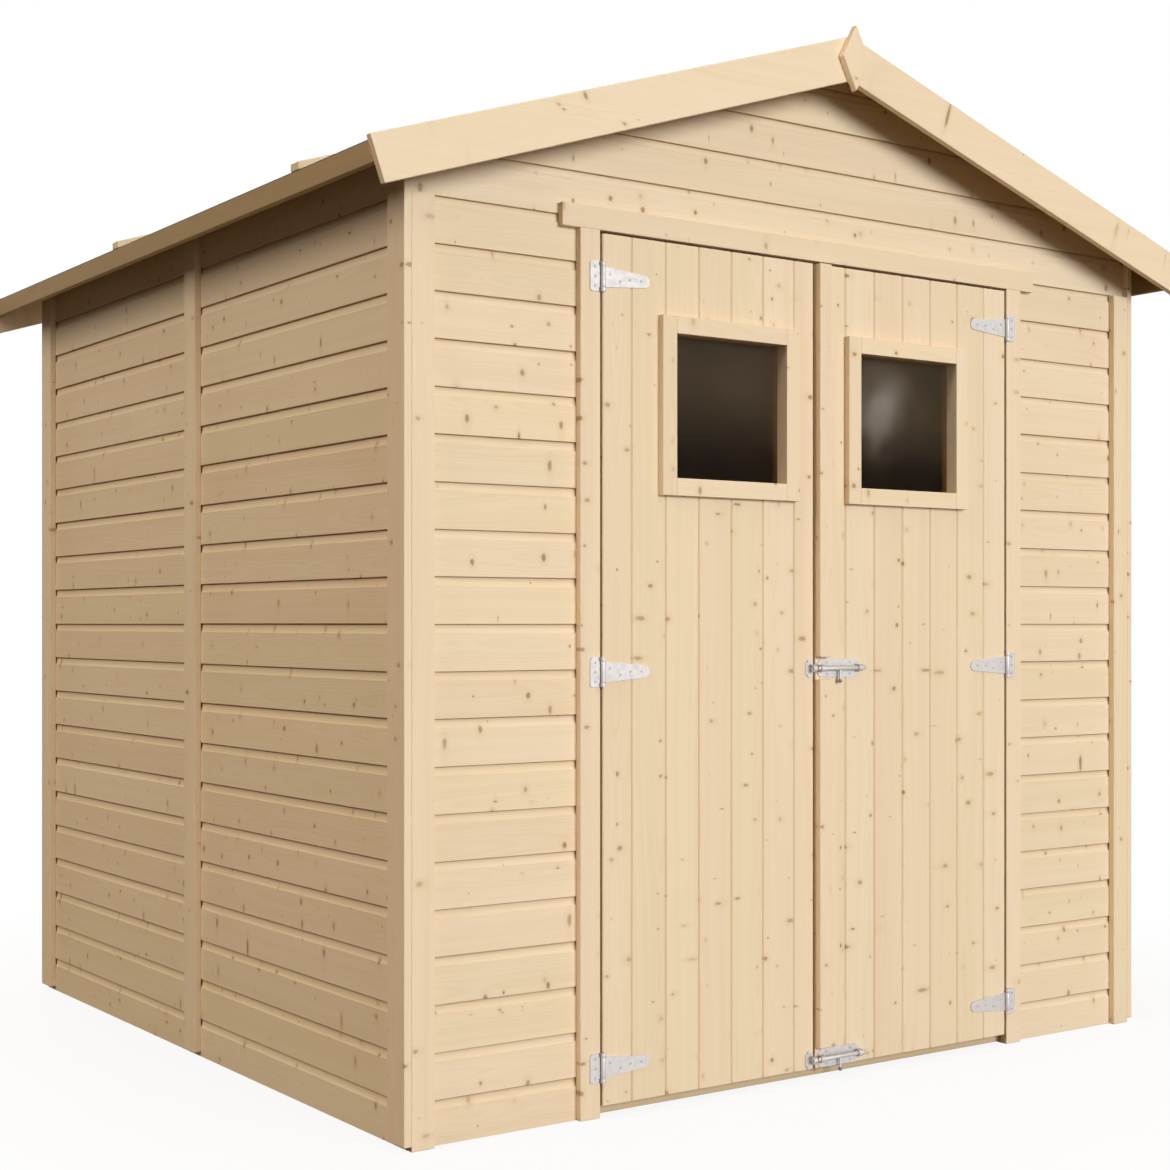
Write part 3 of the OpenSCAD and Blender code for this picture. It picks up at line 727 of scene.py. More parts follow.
def shiplap_section(low, high, gap):
    """Section of one board from its lip up its face: depth behind the face, height, and how far the point
    lies in the joint, from 0 on the face to 1 where no light comes, by which the material paints shade."""
    sizes = board_sizes()
    rebate_step, shoulder_step = 0.001, 0.0004
    steps, deep, scoop = sizes.scoop_steps, sizes.scoop_depth, sizes.scoop_height
    rebate, inner, ease = deep + rebate_step, BOARD_T - FINE_EDGE, FINE_EDGE
    lip, shoulder = low + gap, high + shoulder_step
    foot, top = low + sizes.lap, high + sizes.lap
    points = [(ease, lip, 0.5), (0.0, lip + ease, 0.0), (0.0, high - scoop, 0.0)]
    for i in range(1, steps):
        angle = math.pi / 2 * i / steps
        # A touch of painted shade at the foot of the scoop
        inside = 0.08 if i == steps - 1 else 0.0
        points.append((deep * math.sin(angle), high - scoop * math.cos(angle), inside))
    return points + [
        (deep, shoulder, 0.3), (rebate, shoulder, 0.5), (rebate, top, 1.0), (inner, top, 0.8),
        (BOARD_T, top - ease, 0.0), (BOARD_T, foot + ease, 0.0), (inner, foot, 0.8), (rebate, foot, 1.0),
        (rebate, lip, 0.9)]


def shiplap(timber, start, along, length, outward, low, high, cuts=()):
    """Rows of shiplap from low to high, with joints at whole covers from the gable's first joint."""
    sizes = board_sizes()
    tightest = 0.45
    first = math.floor((low - GABLE_Z) / sizes.cover + WELD)
    last = math.ceil((high - GABLE_Z) / sizes.cover - WELD)
    for i in range(first, last):
        bottom = GABLE_Z + i * sizes.cover
        gap = sizes.lip_gap * timber.draw.uniform(tightest, 1.0)
        section = shiplap_section(bottom, bottom + sizes.cover, gap)
        timber.prism(
            [start - depth * outward + height * Z for depth, height, _ in section], length * along,
            [inside for _, _, inside in section])
        if bottom < low - WELD:
            timber.saw(low * Z, -Z)
        for point, away in cuts:
            timber.saw(point, away)
        if timber.fresh():
            timber.settle(along, Z)


class ShedOperator:
    """What every operator of the shed shares."""
    bl_options = {"REGISTER", "UNDO"}


class SHED_OT_finishes(ShedOperator, bpy.types.Operator):
    """Make the finishes of wood, felt, zinc and glass"""
    bl_idname = "shed.finishes"
    bl_label = "Finishes"
    planed = 0.0004
    rough = 0.0011

    def execute(self, context):
        finish = context.scene.shed_finish
        for group in (knots_group, rings_group, timber_group, chips_group):
            group()
        wood_material(
            "planed spruce", finish.spruce, finish.spruce_deep, contrast=0.42, relief=self.planed, shine=0.02)
        # Painted shade: the fascias' spruce is darkened
        wood_material(
            "shade-darkened fascia spruce", finish.fascia, finish.sawn_deep, contrast=0.6, relief=self.planed, shine=0.03)
        # Painted shade: dark roof boards for the soffits
        wood_material(
            "roof boards", finish.roof, finish.roof_deep, contrast=0.9, relief=self.rough, shine=0.01)
        wood_material(
            "sawn spruce", finish.sawn, finish.sawn_deep, contrast=0.9, relief=self.rough, shine=0.04)
        felt_material()
        zinc_material("bright zinc", tone=1.0, roughness=0.6)
        # A dark copy of zinc: the balls of the handles, and painted shade in the screws' cross slots
        zinc_material("dark steel and painted slot shade", tone=0.34, roughness=0.45)
        glass_material()
        return {"FINISHED"}


class SHED_OT_end_walls(ShedOperator, bpy.types.Operator):
    """Board the front and back walls and their gables"""
    bl_idname = "shed.end_walls"
    bl_label = "End walls"

    def execute(self, context):
        for node in ("front_wall_left", "front_wall_right", "back_wall_left", "back_wall_right"):
            low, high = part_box(node)
            outward = -Y if node.startswith("front") else Y
            start = Vector((low.x, CLAD_Y * outward.y, 0))
            timber = Timber(node)
            shiplap(timber, start, X, high.x - low.x, outward, 0.0, GABLE_Z)
            timber.done()
        for node, outward in (("front_gable", -Y), ("back_gable", Y)):
            timber = Timber(node)
            start = Vector((-CLAD_X, CLAD_Y * outward.y, 0))
            shiplap(timber, start, X, 2 * CLAD_X, outward, GABLE_Z, RIDGE_Z, roof_cuts(-1, 1))
            if node == "front_gable":
                self.board_over_doors(timber)
            timber.done()
        return {"FINISHED"}

    def board_over_doors(self, timber):
        section = shiplap_section(HEADER_Z - board_sizes().lap, GABLE_Z, 0.0)
        start = Vector((-HALF_DOOR, -CLAD_Y, 0))
        timber.prism([start + depth * Y + height * Z for depth, height, _ in section], 2 * HALF_DOOR * X)
        timber.saw(HEADER_Z * Z, -Z)
        timber.settle(X, Z)


class SHED_OT_side_walls(ShedOperator, bpy.types.Operator):
    """Board the side walls up to the roof's slope"""
    bl_idname = "shed.side_walls"
    bl_label = "Side walls"

    def execute(self, context):
        for side, sign in SIDES:
            for part in ("front", "rear"):
                node = f"{side}_wall_{part}"
                low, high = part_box(node)
                start = Vector((sign * CLAD_X, low.y, 0))
                timber = Timber(node)
                shiplap(
                    timber, start, Y, high.y - low.y, sign * X, 0.0, roof_z(FRAME_X), roof_cuts(sign))
                timber.done()
        return {"FINISHED"}


class SHED_OT_wall_frame(ShedOperator, bpy.types.Operator):
    """Make the studs, rails, floor bearers and roof beams"""
    bl_idname = "shed.wall_frame"
    bl_label = "Wall frame"

    def execute(self, context):
        for node in ("front_back_studs", "side_studs", "front_back_rails", "side_rails", "floor_bearers"):
            longways(node)
        timber = Timber("roof_beams", "timbers")
        for low, high in solids("roof_beams"):
            timber.plank(low, high, SAWN_EDGE)
            for point, away in roof_cuts(-1, 1):
                timber.saw(point, away)
            timber.settle(Y, Z)
        timber.done("sawn spruce", "frame_wood")
        return {"FINISHED"}


class SHED_OT_floor_boards(ShedOperator, bpy.types.Operator):
    """Lay the floor boards"""
    bl_idname = "shed.floor_boards"
    bl_label = "Floor boards"
    half_gap = 0.0003

    def execute(self, context):
        low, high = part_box("floor_deck")
        count = round((high.y - low.y) / board_sizes().deck_cover)
        cover = (high.y - low.y) / count
        timber = Timber("floor_deck")
        for i in range(count):
            front = low.y + i * cover + self.half_gap
            back = low.y + (i + 1) * cover - self.half_gap
            timber.plank(Vector((low.x, front, low.z)), Vector((high.x, back, high.z)), FINE_EDGE)
            timber.settle(X, Y)
        timber.done("sawn spruce", "frame_wood")
        return {"FINISHED"}


class SHED_OT_trims(ShedOperator, bpy.types.Operator):
    """Make the corner trims, cover strips, door posts and header"""
    bl_idname = "shed.trims"
    bl_label = "Trims"

    def execute(self, context):
        for node in ("front_corner_trims", "back_corner_trims", "door_posts"):
            planks(node, Z, X)
        for node in ("side_corner_trims", "cover_strips"):
            planks(node, Z, Y)
        planks("door_header", X, Z)
        return {"FINISHED"}


def slab(near, far, under, top):
    """Section of a flat board on the slope: distances from the middle, and rises."""
    return (near, under), (far, under), (far, top), (near, top)


class SHED_OT_roof(ShedOperator, bpy.types.Operator):
    """Lay the roof boards, felt and battens"""
    bl_idname = "shed.roof"
    bl_label = "Roof"
    ridge_reach = 0.56
    felt_thickness = 0.0013

    def execute(self, context):
        for side, sign in SIDES:
            self.lay_deck(f"roof_{side}_deck", sign)
        self.lay_felt()
        self.fix_battens()
        return {"FINISHED"}

    def lay_deck(self, node, sign):
        count = round(DECK_X / math.cos(PITCH) / board_sizes().deck_cover)
        deck = Timber(node)
        for i in range(count):
            inner, outer = (DECK_X * (i + step) / count for step in (0, 1))
            deck.on_roof(sign, slab(inner, outer, SEAT, DECK_RISE), -DECK_Y, DECK_Y)
            deck.round_edges(DECK_EDGE)
            deck.settle(Y, downhill(sign))
        deck.done("roof boards")

    def lay_felt(self):
        """A sheet over the ridge, and one along each eave under its edge."""
        reach, low = self.ridge_reach, DECK_RISE + SEAT
        sheets = Timber("roof_felt", "sheets")
        under = [(x, low) for x in (-reach, 0, reach)]
        over = [(x, FELT_RISE) for x in (reach, 0, -reach)]
        sheets.on_roof(1, under + over, -DECK_Y, DECK_Y)
        sheets.settle(Y, X)
        for sign in (-1, 1):
            sheets.on_roof(
                sign, slab(reach, EAVE_X, low, DECK_RISE + self.felt_thickness), -DECK_Y, DECK_Y)
            sheets.settle(Y, X)
        sheets.done("roofing felt", "roof_felt")

    def fix_battens(self):
        battens = Timber("roof_battens")
        for low, high in solids("roof_battens"):
            sign, near, far = side_of(low, high)
            battens.on_roof(sign, slab(near, far, FELT_RISE, BATTEN_RISE), low.y, high.y)
            battens.round_edges(board_sizes().edge)
            battens.settle(downhill(sign), Y)
        battens.done()


class SHED_OT_roof_edges(ShedOperator, bpy.types.Operator):
    """Make the fascias, bargeboards and finials"""
    bl_idname = "shed.roof_edges"
    bl_label = "Roof edges"

    def execute(self, context):
        self.fascias()
        for node in ("front_bargeboards", "back_bargeboards"):
            self.barges(node)
        for node in ("front_finial", "back_finial"):
            self.finial(node)
        return {"FINISHED"}

    def fascias(self):
        boards = Timber("eave_fascias")
        for low, high in solids("eave_fascias"):
            sign, near, far = side_of(low, high)
            section = [(near, low.z), (far, low.z)] + [(x, roof_z(x, DECK_RISE)) for x in (far, near)]
            boards.prism([Vector((sign * x, low.y, z)) for x, z in section], (high.y - low.y) * Y)
            boards.round_edges(board_sizes().edge)
            boards.settle(Y, Z)
        boards.done("shade-darkened fascia spruce")

    def barges(self, node):
        sizes = board_sizes()
        under = BARGE_RISE - sizes.barge_width
        boards = Timber(node)
        for low, high in solids(node):
            sign, near, far = side_of(low, high)
            section = (
                (near, BARGE_RISE), (near, under), (far - sizes.barge_cut, under), (far, BARGE_RISE))
            boards.on_roof(sign, section, low.y, high.y)
            boards.round_edges(sizes.edge)
            boards.settle(downhill(sign), -Z)
        boards.done()

    def finial(self, node):
        low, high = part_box(node)
        middle = (low + high) / 2
        corners = ((high.x, middle.z), (middle.x, high.z), (low.x, middle.z), (middle.x, low.z))
        diamond = Timber(node, "diamond")
        diamond.prism([Vector((x, low.y, z)) for x, z in corners], (high.y - low.y) * Y)
        diamond.round_edges(FINIAL_EDGE)
        diamond.settle(Z, X)
        diamond.done()


class SHED_OT_doors(ShedOperator, bpy.types.Operator):
    """Make the doors' matched boards, ledges and meeting strip"""
    bl_idname = "shed.doors"
    bl_label = "Doors"
    ease = 0.002
    play = 0.00006
    # Painted shade in the V joints, as a share of the joint colour
    joint_shade = 0.15

    def execute(self, context):
        for side, sign in SIDES:
            body = f"{side}_door"
            self.leaf(side, sign, body)
            planks(
                f"{side}_door_ledges", X, Z, LEDGE_EDGE, material="sawn spruce", slot="frame_wood", body=body)
        planks("meeting_strips", Z, X, body="right_door")
        return {"FINISHED"}

    def leaf(self, side, sign, body):
        """Boards from the hinges to the meeting edge, cut round the window."""
        sizes = board_sizes()
        low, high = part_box(f"{side}_door_leaf")
        pane_low, pane_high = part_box(f"{side}_window_frame")
        bar = sizes.window_bar
        outer, inner = (high.x, low.x) if sign > 0 else (-low.x, -high.x)
        hole = sorted((sign * (pane_low.x + bar), sign * (pane_high.x - bar)))
        sill, top = pane_low.z + bar, pane_high.z - bar
        joints = [outer]
        x = outer - sizes.hinge_board
        while x > inner + 2 * sizes.vee:
            joints.append(x)
            x -= sizes.matched
        joints.append(inner)
        timber = Timber(f"{side}_door_leaf")
        for right, left in zip(joints, joints[1:]):
            left_joint, right_joint = left > inner, right < outer
            board = (left, right, left_joint, right_joint)
            if right <= hole[0] or left >= hole[1]:
                lengths = [(board, low.z, high.z)]
            else:
                lengths = [(board, low.z, sill), (board, top, high.z)]
                if left < hole[0]:
                    lengths.append(((left, hole[0], left_joint, False), sill, top))
                if right > hole[1]:
                    lengths.append(((hole[1], right, False, right_joint), sill, top))
            for strip, bottom, end in lengths:
                self.length(timber, sign, strip, low.y, high.y, bottom, end)
            timber.settle(Z, X)
        timber.done(body=body)

    def length(self, timber, sign, strip, face, back, bottom, top):
        """One length of a board: its edges at a joint are chamfered on the face and carry painted shade."""
        left, right, left_joint, right_joint = strip
        left_cut, right_cut = (board_sizes().vee if joint else self.ease for joint in strip[2:])
        left, right = left + self.play * left_joint, right - self.play * right_joint
        points = (
            (left, back, left_joint), (left, face + left_cut, left_joint), (left + left_cut, face, 0),
            (right - right_cut, face, 0), (right, face + right_cut, right_joint), (right, back, right_joint))
        timber.prism(
            [Vector((sign * x, y, bottom)) for x, y, _ in points], (top - bottom) * Z,
            [self.joint_shade * inside for _, _, inside in points])


class SHED_OT_windows(ShedOperator, bpy.types.Operator):
    """Make the window frames and finish the panes"""
    bl_idname = "shed.windows"
    bl_label = "Windows"
    clearance = 0.0005

    def execute(self, context):
        for side, _ in SIDES:
            low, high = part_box(f"{side}_window_frame")
            pane_low, pane_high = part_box(f"{side}_window_glass")
            bar = board_sizes().window_bar
            lap = pane_low.x - low.x - self.clearance
            inset = Vector((lap, 0, lap))
            bars = Timber(f"{side}_window_frame", "bars")
            self.ring(bars, low, high, bar, low.y, -HALF_D)
            self.ring(bars, low, high, lap, -CLAD_Y, high.y)
            self.ring(bars, low + inset, high - inset, bar - lap, pane_high.y + self.clearance, high.y)
            bars.done(body=f"{side}_door")
            pane = frame["nodes"][f"{side}_window_glass"]
            pane.data.materials.clear()
            pane.data.materials.append(bpy.data.materials["window glass"])
        return {"FINISHED"}

    def ring(self, timber, low, high, bar, front, back):
        """Two upright bars with two rails between them."""
        for x in (low.x, high.x - bar):
            timber.plank(Vector((x, front, low.z)), Vector((x + bar, back, high.z)), FINE_EDGE)
            timber.settle(Z, X)
        for z in (low.z, high.z - bar):
            timber.plank(Vector((low.x + bar, front, z)), Vector((high.x - bar, back, z + bar)), FINE_EDGE)
            timber.settle(X, Z)


class Fitting:
    """A piece of metal, or a set of like pieces."""
    head_height = 0.0008
    head_taper = 0.8
    # The cross slot is painted shade: thin boxes of the dark second material on the head
    slot_length, slot_width, slot_height = 1.1, 0.22, 0.0003
    rim_tolerance = 1e-9
    sharp = math.radians(35)

    def __init__(self, node, kind="zinc"):
        self.node = node
        self.name = f"{node}_{kind}"
        self.mesh = bmesh.new()

    def plate(self, outline, run, edge):
        """A plate cut to an outline, with its edges eased."""
        verts = extrude(self.mesh, [self.mesh.verts.new(point) for point in outline], run)
        sides = [side for vert in verts for side in vert.link_edges if side.is_manifold]
        bevel(self.mesh, sides, edge, segments=1)

    def rod(self, start, end, radius, edge, segments=24):
        """A round rod with eased ends."""
        line = end - start
        turn = line.to_track_quat("Z", "Y").to_matrix().to_4x4()
        place = Matrix.Translation((start + end) / 2) @ turn
        verts = bmesh.ops.create_cone(
            self.mesh, cap_ends=True, segments=segments, radius1=radius, radius2=radius,
            depth=line.length, matrix=place)["verts"]
        rims = [
            side for vert in verts for side in vert.link_edges
            if abs((side.verts[0].co - side.verts[1].co).dot(line)) < self.rim_tolerance]
        bevel(self.mesh, rims, edge, segments=2)

    def screw(self, point, radius, draw):
        """A cross head that faces out of the wall, turned at random; its cross is two thin dark boxes on the
        head, painted shade of the recess.
        """
        upright = (-Y).to_track_quat("Z", "Y").to_matrix().to_4x4()
        turn = Matrix.Rotation(draw.uniform(0, math.pi), 4, "Z")
        place = Matrix.Translation(point) @ upright @ turn
        bmesh.ops.create_cone(
            self.mesh, cap_ends=True, segments=16, radius1=radius, radius2=self.head_taper * radius,
            depth=self.head_height, matrix=place @ Matrix.Translation(self.head_height / 2 * Z))
        top = place @ Matrix.Translation(self.head_height * Z)
        # Painted shade: a dark cross where the recess would be
        length, width = self.slot_length * radius, self.slot_width * radius
        for size in ((length, width), (width, length)):
            stretch = Matrix.Diagonal((*size, self.slot_height, 1))
            self.darken(bmesh.ops.create_cube(self.mesh, size=1.0, matrix=top @ stretch)["verts"])

    def ball(self, middle, radius):
        """A dark ball on a handle."""
        self.darken(bmesh.ops.create_uvsphere(
            self.mesh, u_segments=20, v_segments=12, radius=radius,
            matrix=Matrix.Translation(middle))["verts"])

    def darken(self, verts):
        """Gives the faces round some corners the second material."""
        for vert in verts:
            for face in vert.link_faces:
                face.material_index = 1

    def done(self, body):
        for face in self.mesh.faces:
            face.smooth = True
        for edge in self.mesh.edges:
            edge.smooth = edge.calc_face_angle(math.pi) < self.sharp
        make_object(self.name, self.mesh, ["bright zinc", "dark steel and painted slot shade"], body, self.node)


def arc(middle, radius, start, end, steps):
    """Points of an arc in the plane of the wall, angles in degrees from +X towards +Z."""
    for i in range(steps + 1):
        angle = math.radians(start + (end - start) * i / steps)
        yield middle + radius * (math.cos(angle) * X + math.sin(angle) * Z)


class SHED_OT_hinges(ShedOperator, bpy.types.Operator):
    """Make the T-hinges with their knuckles, pins and screws"""
    bl_idname = "shed.hinges"
    bl_label = "Hinges"
    metal = 0.0025
    plate_edge = 0.0005
    plate_corner = 0.004
    tab_edge = 0.0003
    tab_lap = 0.002
    knuckle_radius = 0.005
    knuckle_height = 0.0085
    knuckle_edge = 0.0006
    knuckle_gap = 0.0006
    pin_radius = 0.0025
    pin_edge = 0.0008
    play = 0.0004
    root = 0.042
    tip = 0.025
    tip_steps = 10
    post_screws = (-0.019, 0.0, 0.019)
    post_screw_radius = 0.0036
    strap_screws = ((0.18, 0.007), (0.42, -0.006), (0.66, 0.0), (0.92, 0.0))
    strap_screw_radius = 0.0034

    def execute(self, context):
        draw = random.Random("hinge screws")
        pins = {
            joint["name"]: Vector(joint["pos_m"]) for joint in frame["joints"] if joint["type"] == "hinge"}
        plates = Fitting("hinge_plates")
        for low, high in solids("hinge_plates"):
            sign, _, wide = side_of(low, high)
            side = "right" if sign > 0 else "left"
            self.post_plate(plates, pins[f"{side}_door_hinge"], sign, wide, low.z, high.z, draw)
        plates.done("shed")
        for side, sign in SIDES:
            straps = Fitting(f"{side}_hinge_straps")
            for low, high in solids(straps.node):
                _, end, _ = side_of(low, high)
                self.strap(straps, pins[f"{side}_door_hinge"], sign, end, (low.z + high.z) / 2, draw)
            straps.done(f"{side}_door")
        return {"FINISHED"}

    def upright(self, fitting, pin, bottom, top, radius, edge):
        """A round length on a pin's line."""
        fitting.rod(Vector((pin.x, pin.y, bottom)), Vector((pin.x, pin.y, top)), radius, edge)

    def post_plate(self, plates, pin, sign, wide, bottom, top, draw):
        middle = (bottom + top) / 2
        near, cut = abs(pin.x) + self.knuckle_radius + self.knuckle_gap, self.plate_corner
        face = -HALF_D - self.metal
        points = (
            (near, bottom), (wide - cut, bottom), (wide, bottom + cut), (wide, top - cut),
            (wide - cut, top), (near, top))
        plates.plate([Vector((sign * x, face, z)) for x, z in points], self.metal * Y, self.plate_edge)
        inner = self.root / 2 + self.play
        outer = inner + self.knuckle_height
        lap = near + self.tab_lap
        for low, high in ((middle - outer, middle - inner), (middle + inner, middle + outer)):
            self.upright(plates, pin, low, high, self.knuckle_radius, self.knuckle_edge)
            tab = ((abs(pin.x), low), (lap, low), (lap, high), (abs(pin.x), high))
            plates.plate([Vector((sign * x, face, z)) for x, z in tab], self.metal * Y, self.tab_edge)
        self.upright(plates, pin, middle - outer, middle + outer, self.pin_radius, self.pin_edge)
        screw_x = sign * (near + wide) / 2
        for lift in self.post_screws:
            plates.screw(Vector((screw_x, face, middle + lift)), self.post_screw_radius, draw)

    def strap(self, straps, pin, sign, end, middle, draw):
        root_x, half_root, tip_radius = abs(pin.x), self.root / 2, self.tip / 2
        tip_x = end + tip_radius
        face = -HALF_D - self.metal
        rim = arc(Vector((tip_x, face, middle)), tip_radius, 90, 270, self.tip_steps)
        outline = [
            Vector((root_x, face, middle + half_root)), *rim, Vector((root_x, face, middle - half_root))]
        straps.plate(
            [Vector((sign * point.x, point.y, point.z)) for point in outline], self.metal * Y,
            self.plate_edge)
        self.upright(
            straps, pin, middle - half_root, middle + half_root, self.knuckle_radius, self.knuckle_edge)
        for share, lift in self.strap_screws:
            x = root_x + (tip_x - root_x) * share
            straps.screw(Vector((sign * x, face, middle + lift)), self.strap_screw_radius, draw)


class SHED_OT_bolts(ShedOperator, bpy.types.Operator):
    """Make the barrel bolts, their plates and keepers"""
    bl_idname = "shed.bolts"
    bl_label = "Bolts"
    metal = 0.002
    plate_edge = 0.0004
    corner = 0.009
    guide_length = 0.012
    guide_play = 0.0004
    guide_wall = 0.0025
    plate_screw_inset = (0.027, 0.007)
    plate_screw_radius = 0.003
    keeper_length = 0.011
    keeper_play = 0.0015
    keeper_wall = 0.002
    keeper_screw_inset = 0.006
    keeper_screw_radius = 0.0028
    strap_edge = 0.0003
    strap_steps = 10
    rod_edge = 0.0012
    rod_segments = 32
    handle_radius = 0.003
    handle_edge = 0.0005
    handle_gap = 0.0055
    ball_radius = 0.0045
    travel = 0.02

    def execute(self, context):
        draw = random.Random("bolt screws")
        rod_low, rod_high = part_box("middle_bolt")
        rod_y, radius = (rod_low.y + rod_high.y) / 2, (rod_high.y - rod_low.y) / 2
        face = -HALF_D - self.metal
        plates = Fitting("bolt_plates")
        aside, inside = self.plate_screw_inset
        for low, high in solids("bolt_plates"):
            middle = (low.z + high.z) / 2
            self.back_plate(plates, low, high)
            for x in (low.x, high.x - self.guide_length):
                self.strap_over(
                    plates, x, self.guide_length, rod_y, middle, radius + self.guide_play, self.guide_wall)
            for x in (low.x + aside, high.x - aside):
                for z in (low.z + inside, high.z - inside):
                    plates.screw(Vector((x, face, z)), self.plate_screw_radius, draw)
        plates.done("right_door")
        keepers = Fitting("bolt_keepers")
        inset, length = self.keeper_screw_inset, self.keeper_length
        for low, high in solids("bolt_keepers"):
            middle = (low.z + high.z) / 2
            self.back_plate(keepers, low, high)
            self.strap_over(
                keepers, high.x - length, length, rod_y, middle, radius + self.keeper_play, self.keeper_wall)
            for z in (low.z + inset, high.z - inset):
                keepers.screw(Vector((low.x + inset, face, z)), self.keeper_screw_radius, draw)
        keepers.done("left_door")
        for node in ("middle_bolt", "bottom_bolt"):
            self.bolt(node, rod_y, radius)
        return {"FINISHED"}

    def bolt(self, node, rod_y, radius):
        """A rod with a hanging handle that ends in a ball."""
        low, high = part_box(node)
        middle = high.z - radius
        handle_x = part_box("meeting_strips")[1].x + self.handle_gap + self.ball_radius + self.travel
        ball = Vector((handle_x, rod_y, low.z + self.ball_radius))
        bolt = Fitting(node, "rod")
        bolt.rod(
            Vector((low.x, rod_y, middle)), Vector((high.x, rod_y, middle)), radius, self.rod_edge,
            self.rod_segments)
        bolt.rod(Vector((handle_x, rod_y, middle)), ball, self.handle_radius, self.handle_edge)
        bolt.ball(ball, self.ball_radius)
        bolt.done(node)

    def back_plate(self, fitting, low, high):
        face, cut = -HALF_D - self.metal, self.corner
        points = (
            (low.x + cut, low.z), (high.x - cut, low.z), (high.x, low.z + cut), (high.x, high.z - cut),
            (high.x - cut, high.z), (low.x + cut, high.z), (low.x, high.z - cut), (low.x, low.z + cut))
        fitting.plate([Vector((x, face, z)) for x, z in points], self.metal * Y, self.plate_edge)

    def strap_over(self, fitting, x, length, rod_y, middle, inside, wall):
        """A strap bent over the rod, with its feet on the plate."""
        foot, steps = -HALF_D - self.metal, self.strap_steps
        outside = inside + wall

        def bend(radius, start, end):
            for i in range(steps + 1):
                angle = math.radians(start + (end - start) * i / steps)
                yield Vector((x, rod_y - radius * math.sin(angle), middle + radius * math.cos(angle)))

        outline = [
            Vector((x, foot, middle + outside)), *bend(outside, 0, 180),
            Vector((x, foot, middle - outside)), Vector((x, foot, middle - inside)),
            *bend(inside, 180, 0), Vector((x, foot, middle + inside))]
        fitting.plate(outline, length * X, self.strap_edge)


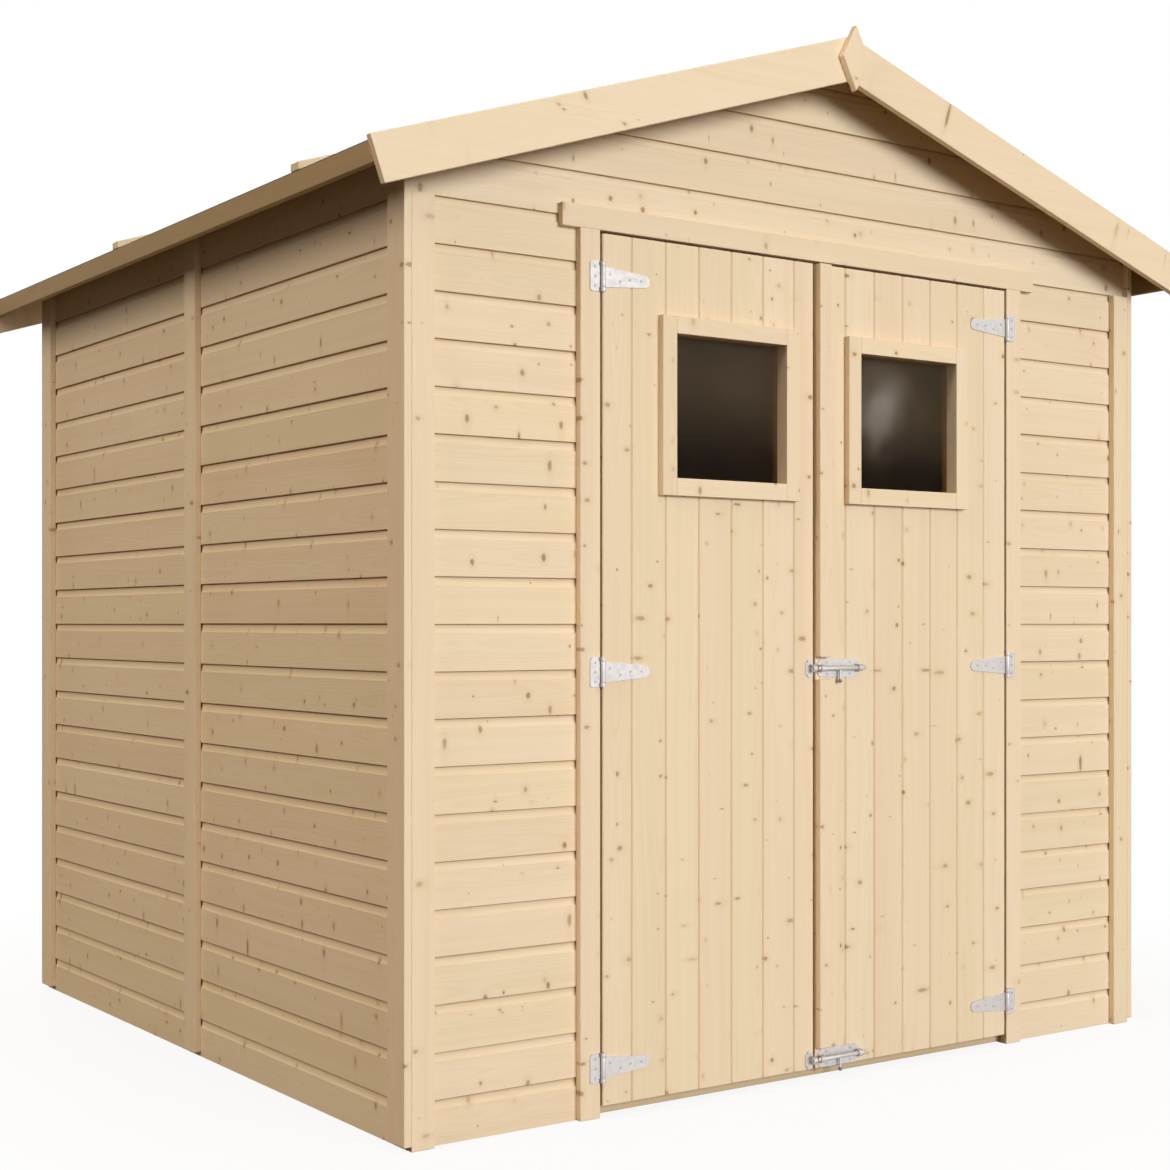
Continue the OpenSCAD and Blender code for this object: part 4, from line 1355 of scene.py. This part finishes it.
class SHED_OT_stage(ShedOperator, bpy.types.Operator):
    """Set up the floor, the soft studio light and the camera"""
    bl_idname = "shed.stage"
    bl_label = "Stage"
    floor_drop = 0.0005
    floor_roughness = 0.9
    fade = (1.2, 2.6)
    whiteness = (0.88, 1.0)
    sky_heights = (0.2, 0.55)
    sensor = 36.0

    def execute(self, context):
        stage = context.scene.shed_stage
        context.scene.view_settings.view_transform = "Standard"
        self.floor(stage)
        self.sky(context.scene, stage)
        wide = (stage.key_size, stage.key_height)
        long_side = (stage.side_length, stage.side_height)
        self.lamp("key lamp", stage.key_place, wide, stage.key, stage.key_tint)
        self.lamp("side lamp", stage.side_place, long_side, stage.side, stage.side_tint)
        self.lamp("back lamp", stage.back_place, wide, stage.back, stage.key_tint)
        self.lamp("right lamp", stage.right_place, wide, stage.right, stage.side_tint)
        self.camera(context.scene, stage)
        return {"FINISHED"}

    def seen(self, graph):
        """1 for rays that see the stage: from the camera, in a gloss or through glass."""
        path = graph.add("ShaderNodeLightPath").outputs
        direct = graph.math("MAXIMUM", path["Is Camera Ray"], path["Is Glossy Ray"])
        return graph.math("MAXIMUM", direct, path["Is Transmission Ray"])

    def floor(self, stage):
        """A pale floor that keeps the shadow and fades to white further out."""
        mesh = bmesh.new()
        bmesh.ops.create_grid(mesh, x_segments=2, y_segments=2, size=stage.floor_width / 2)
        bmesh.ops.translate(mesh, vec=-self.floor_drop * Z, verts=mesh.verts)
        data = bpy.data.meshes.new("floor")
        mesh.to_mesh(data)
        mesh.free()
        graph, shader, output = new_material("pale floor")
        seen = self.seen(graph)
        graph.fill(shader, {
            "Base Color": graph.mix(seen, opaque(stage.bounce), opaque(stage.floor)),
            "Roughness": self.floor_roughness})
        white = graph.add("ShaderNodeEmission", {"Color": WHITE, "Strength": 1.0})
        away = graph.vector("LENGTH", {0: graph.place()}, "Value")
        share = graph.times(graph.spread(away, *self.fade, *self.whiteness), seen)
        graph.fill(output, {"Surface": graph.blend(share, shader, white)})
        data.materials.append(bpy.data.materials["pale floor"])
        floor = bpy.data.objects.new("floor", data)
        bpy.context.scene.collection.objects.link(floor)

    def sky(self, scene, stage):
        """Soft light from overhead, and white where the sky is seen."""
        world = bpy.data.worlds.new("studio")
        scene.world = world
        world.use_nodes = True
        world.node_tree.nodes.clear()
        graph = Graph(world.node_tree)
        overhead = graph.spread(graph.axes(graph.place("Generated"))["Z"], *self.sky_heights)
        soft = graph.add("ShaderNodeBackground", {"Color": opaque(stage.sky), "Strength": overhead})
        white = graph.add("ShaderNodeBackground", {"Color": WHITE, "Strength": 1.0})
        graph.add("ShaderNodeOutputWorld", {"Surface": graph.blend(self.seen(graph), soft, white)})

    def lamp(self, name, place, size, level, tint):
        """A soft lamp whose light on a wall that faces it equals a white sky of that level."""
        lamp = bpy.data.lights.new(name, "AREA")
        lamp.shape = "RECTANGLE"
        lamp.size, lamp.size_y = size
        lamp.color = tint
        target = Vector((0, -HALF_D / 2, GABLE_Z / 2))
        line = target - Vector(place)
        lamp.energy = level * math.pi ** 2 * line.length ** 2
        holder = bpy.data.objects.new(name, lamp)
        holder.location = place
        holder.rotation_euler = line.to_track_quat("-Z", "Y").to_euler()
        bpy.context.scene.collection.objects.link(holder)

    def camera(self, scene, stage):
        data = bpy.data.cameras.new("camera")
        data.sensor_width = self.sensor
        data.lens = stage.lens
        data.shift_y = stage.rise
        camera = bpy.data.objects.new("camera", data)
        camera.location = stage.eye
        camera.rotation_euler = (math.pi / 2, 0.0, -stage.yaw)
        scene.collection.objects.link(camera)
        scene.camera = camera


GROUPS = (ShedBoards, ShedFinish, ShedStage)
OPERATORS = (
    SHED_OT_stage, SHED_OT_finishes, SHED_OT_end_walls, SHED_OT_side_walls, SHED_OT_wall_frame,
    SHED_OT_floor_boards, SHED_OT_trims, SHED_OT_roof, SHED_OT_roof_edges, SHED_OT_doors,
    SHED_OT_windows, SHED_OT_hinges, SHED_OT_bolts)


class SHED_PT_panel(bpy.types.Panel):
    """Lists the steps that build the shed"""
    bl_idname = "SHED_PT_panel"
    bl_label = "Wooden garden shed"
    bl_space_type = "VIEW_3D"
    bl_region_type = "UI"
    bl_category = "Shed"

    def draw(self, context):
        for operator in OPERATORS:
            self.layout.operator(operator.bl_idname)


CLASSES = (*GROUPS, *OPERATORS, SHED_PT_panel)


def register():
    for cls in CLASSES:
        bpy.utils.register_class(cls)
    bpy.types.Scene.shed_boards = PointerProperty(type=ShedBoards)
    bpy.types.Scene.shed_finish = PointerProperty(type=ShedFinish)
    bpy.types.Scene.shed_stage = PointerProperty(type=ShedStage)


def unregister():
    del bpy.types.Scene.shed_stage
    del bpy.types.Scene.shed_finish
    del bpy.types.Scene.shed_boards
    for cls in reversed(CLASSES):
        bpy.utils.unregister_class(cls)


def main():
    register()
    for operator in OPERATORS:
        name = operator.bl_idname.split(".")[1]
        getattr(bpy.ops.shed, name)()


if __name__ == "__main__":
    main()
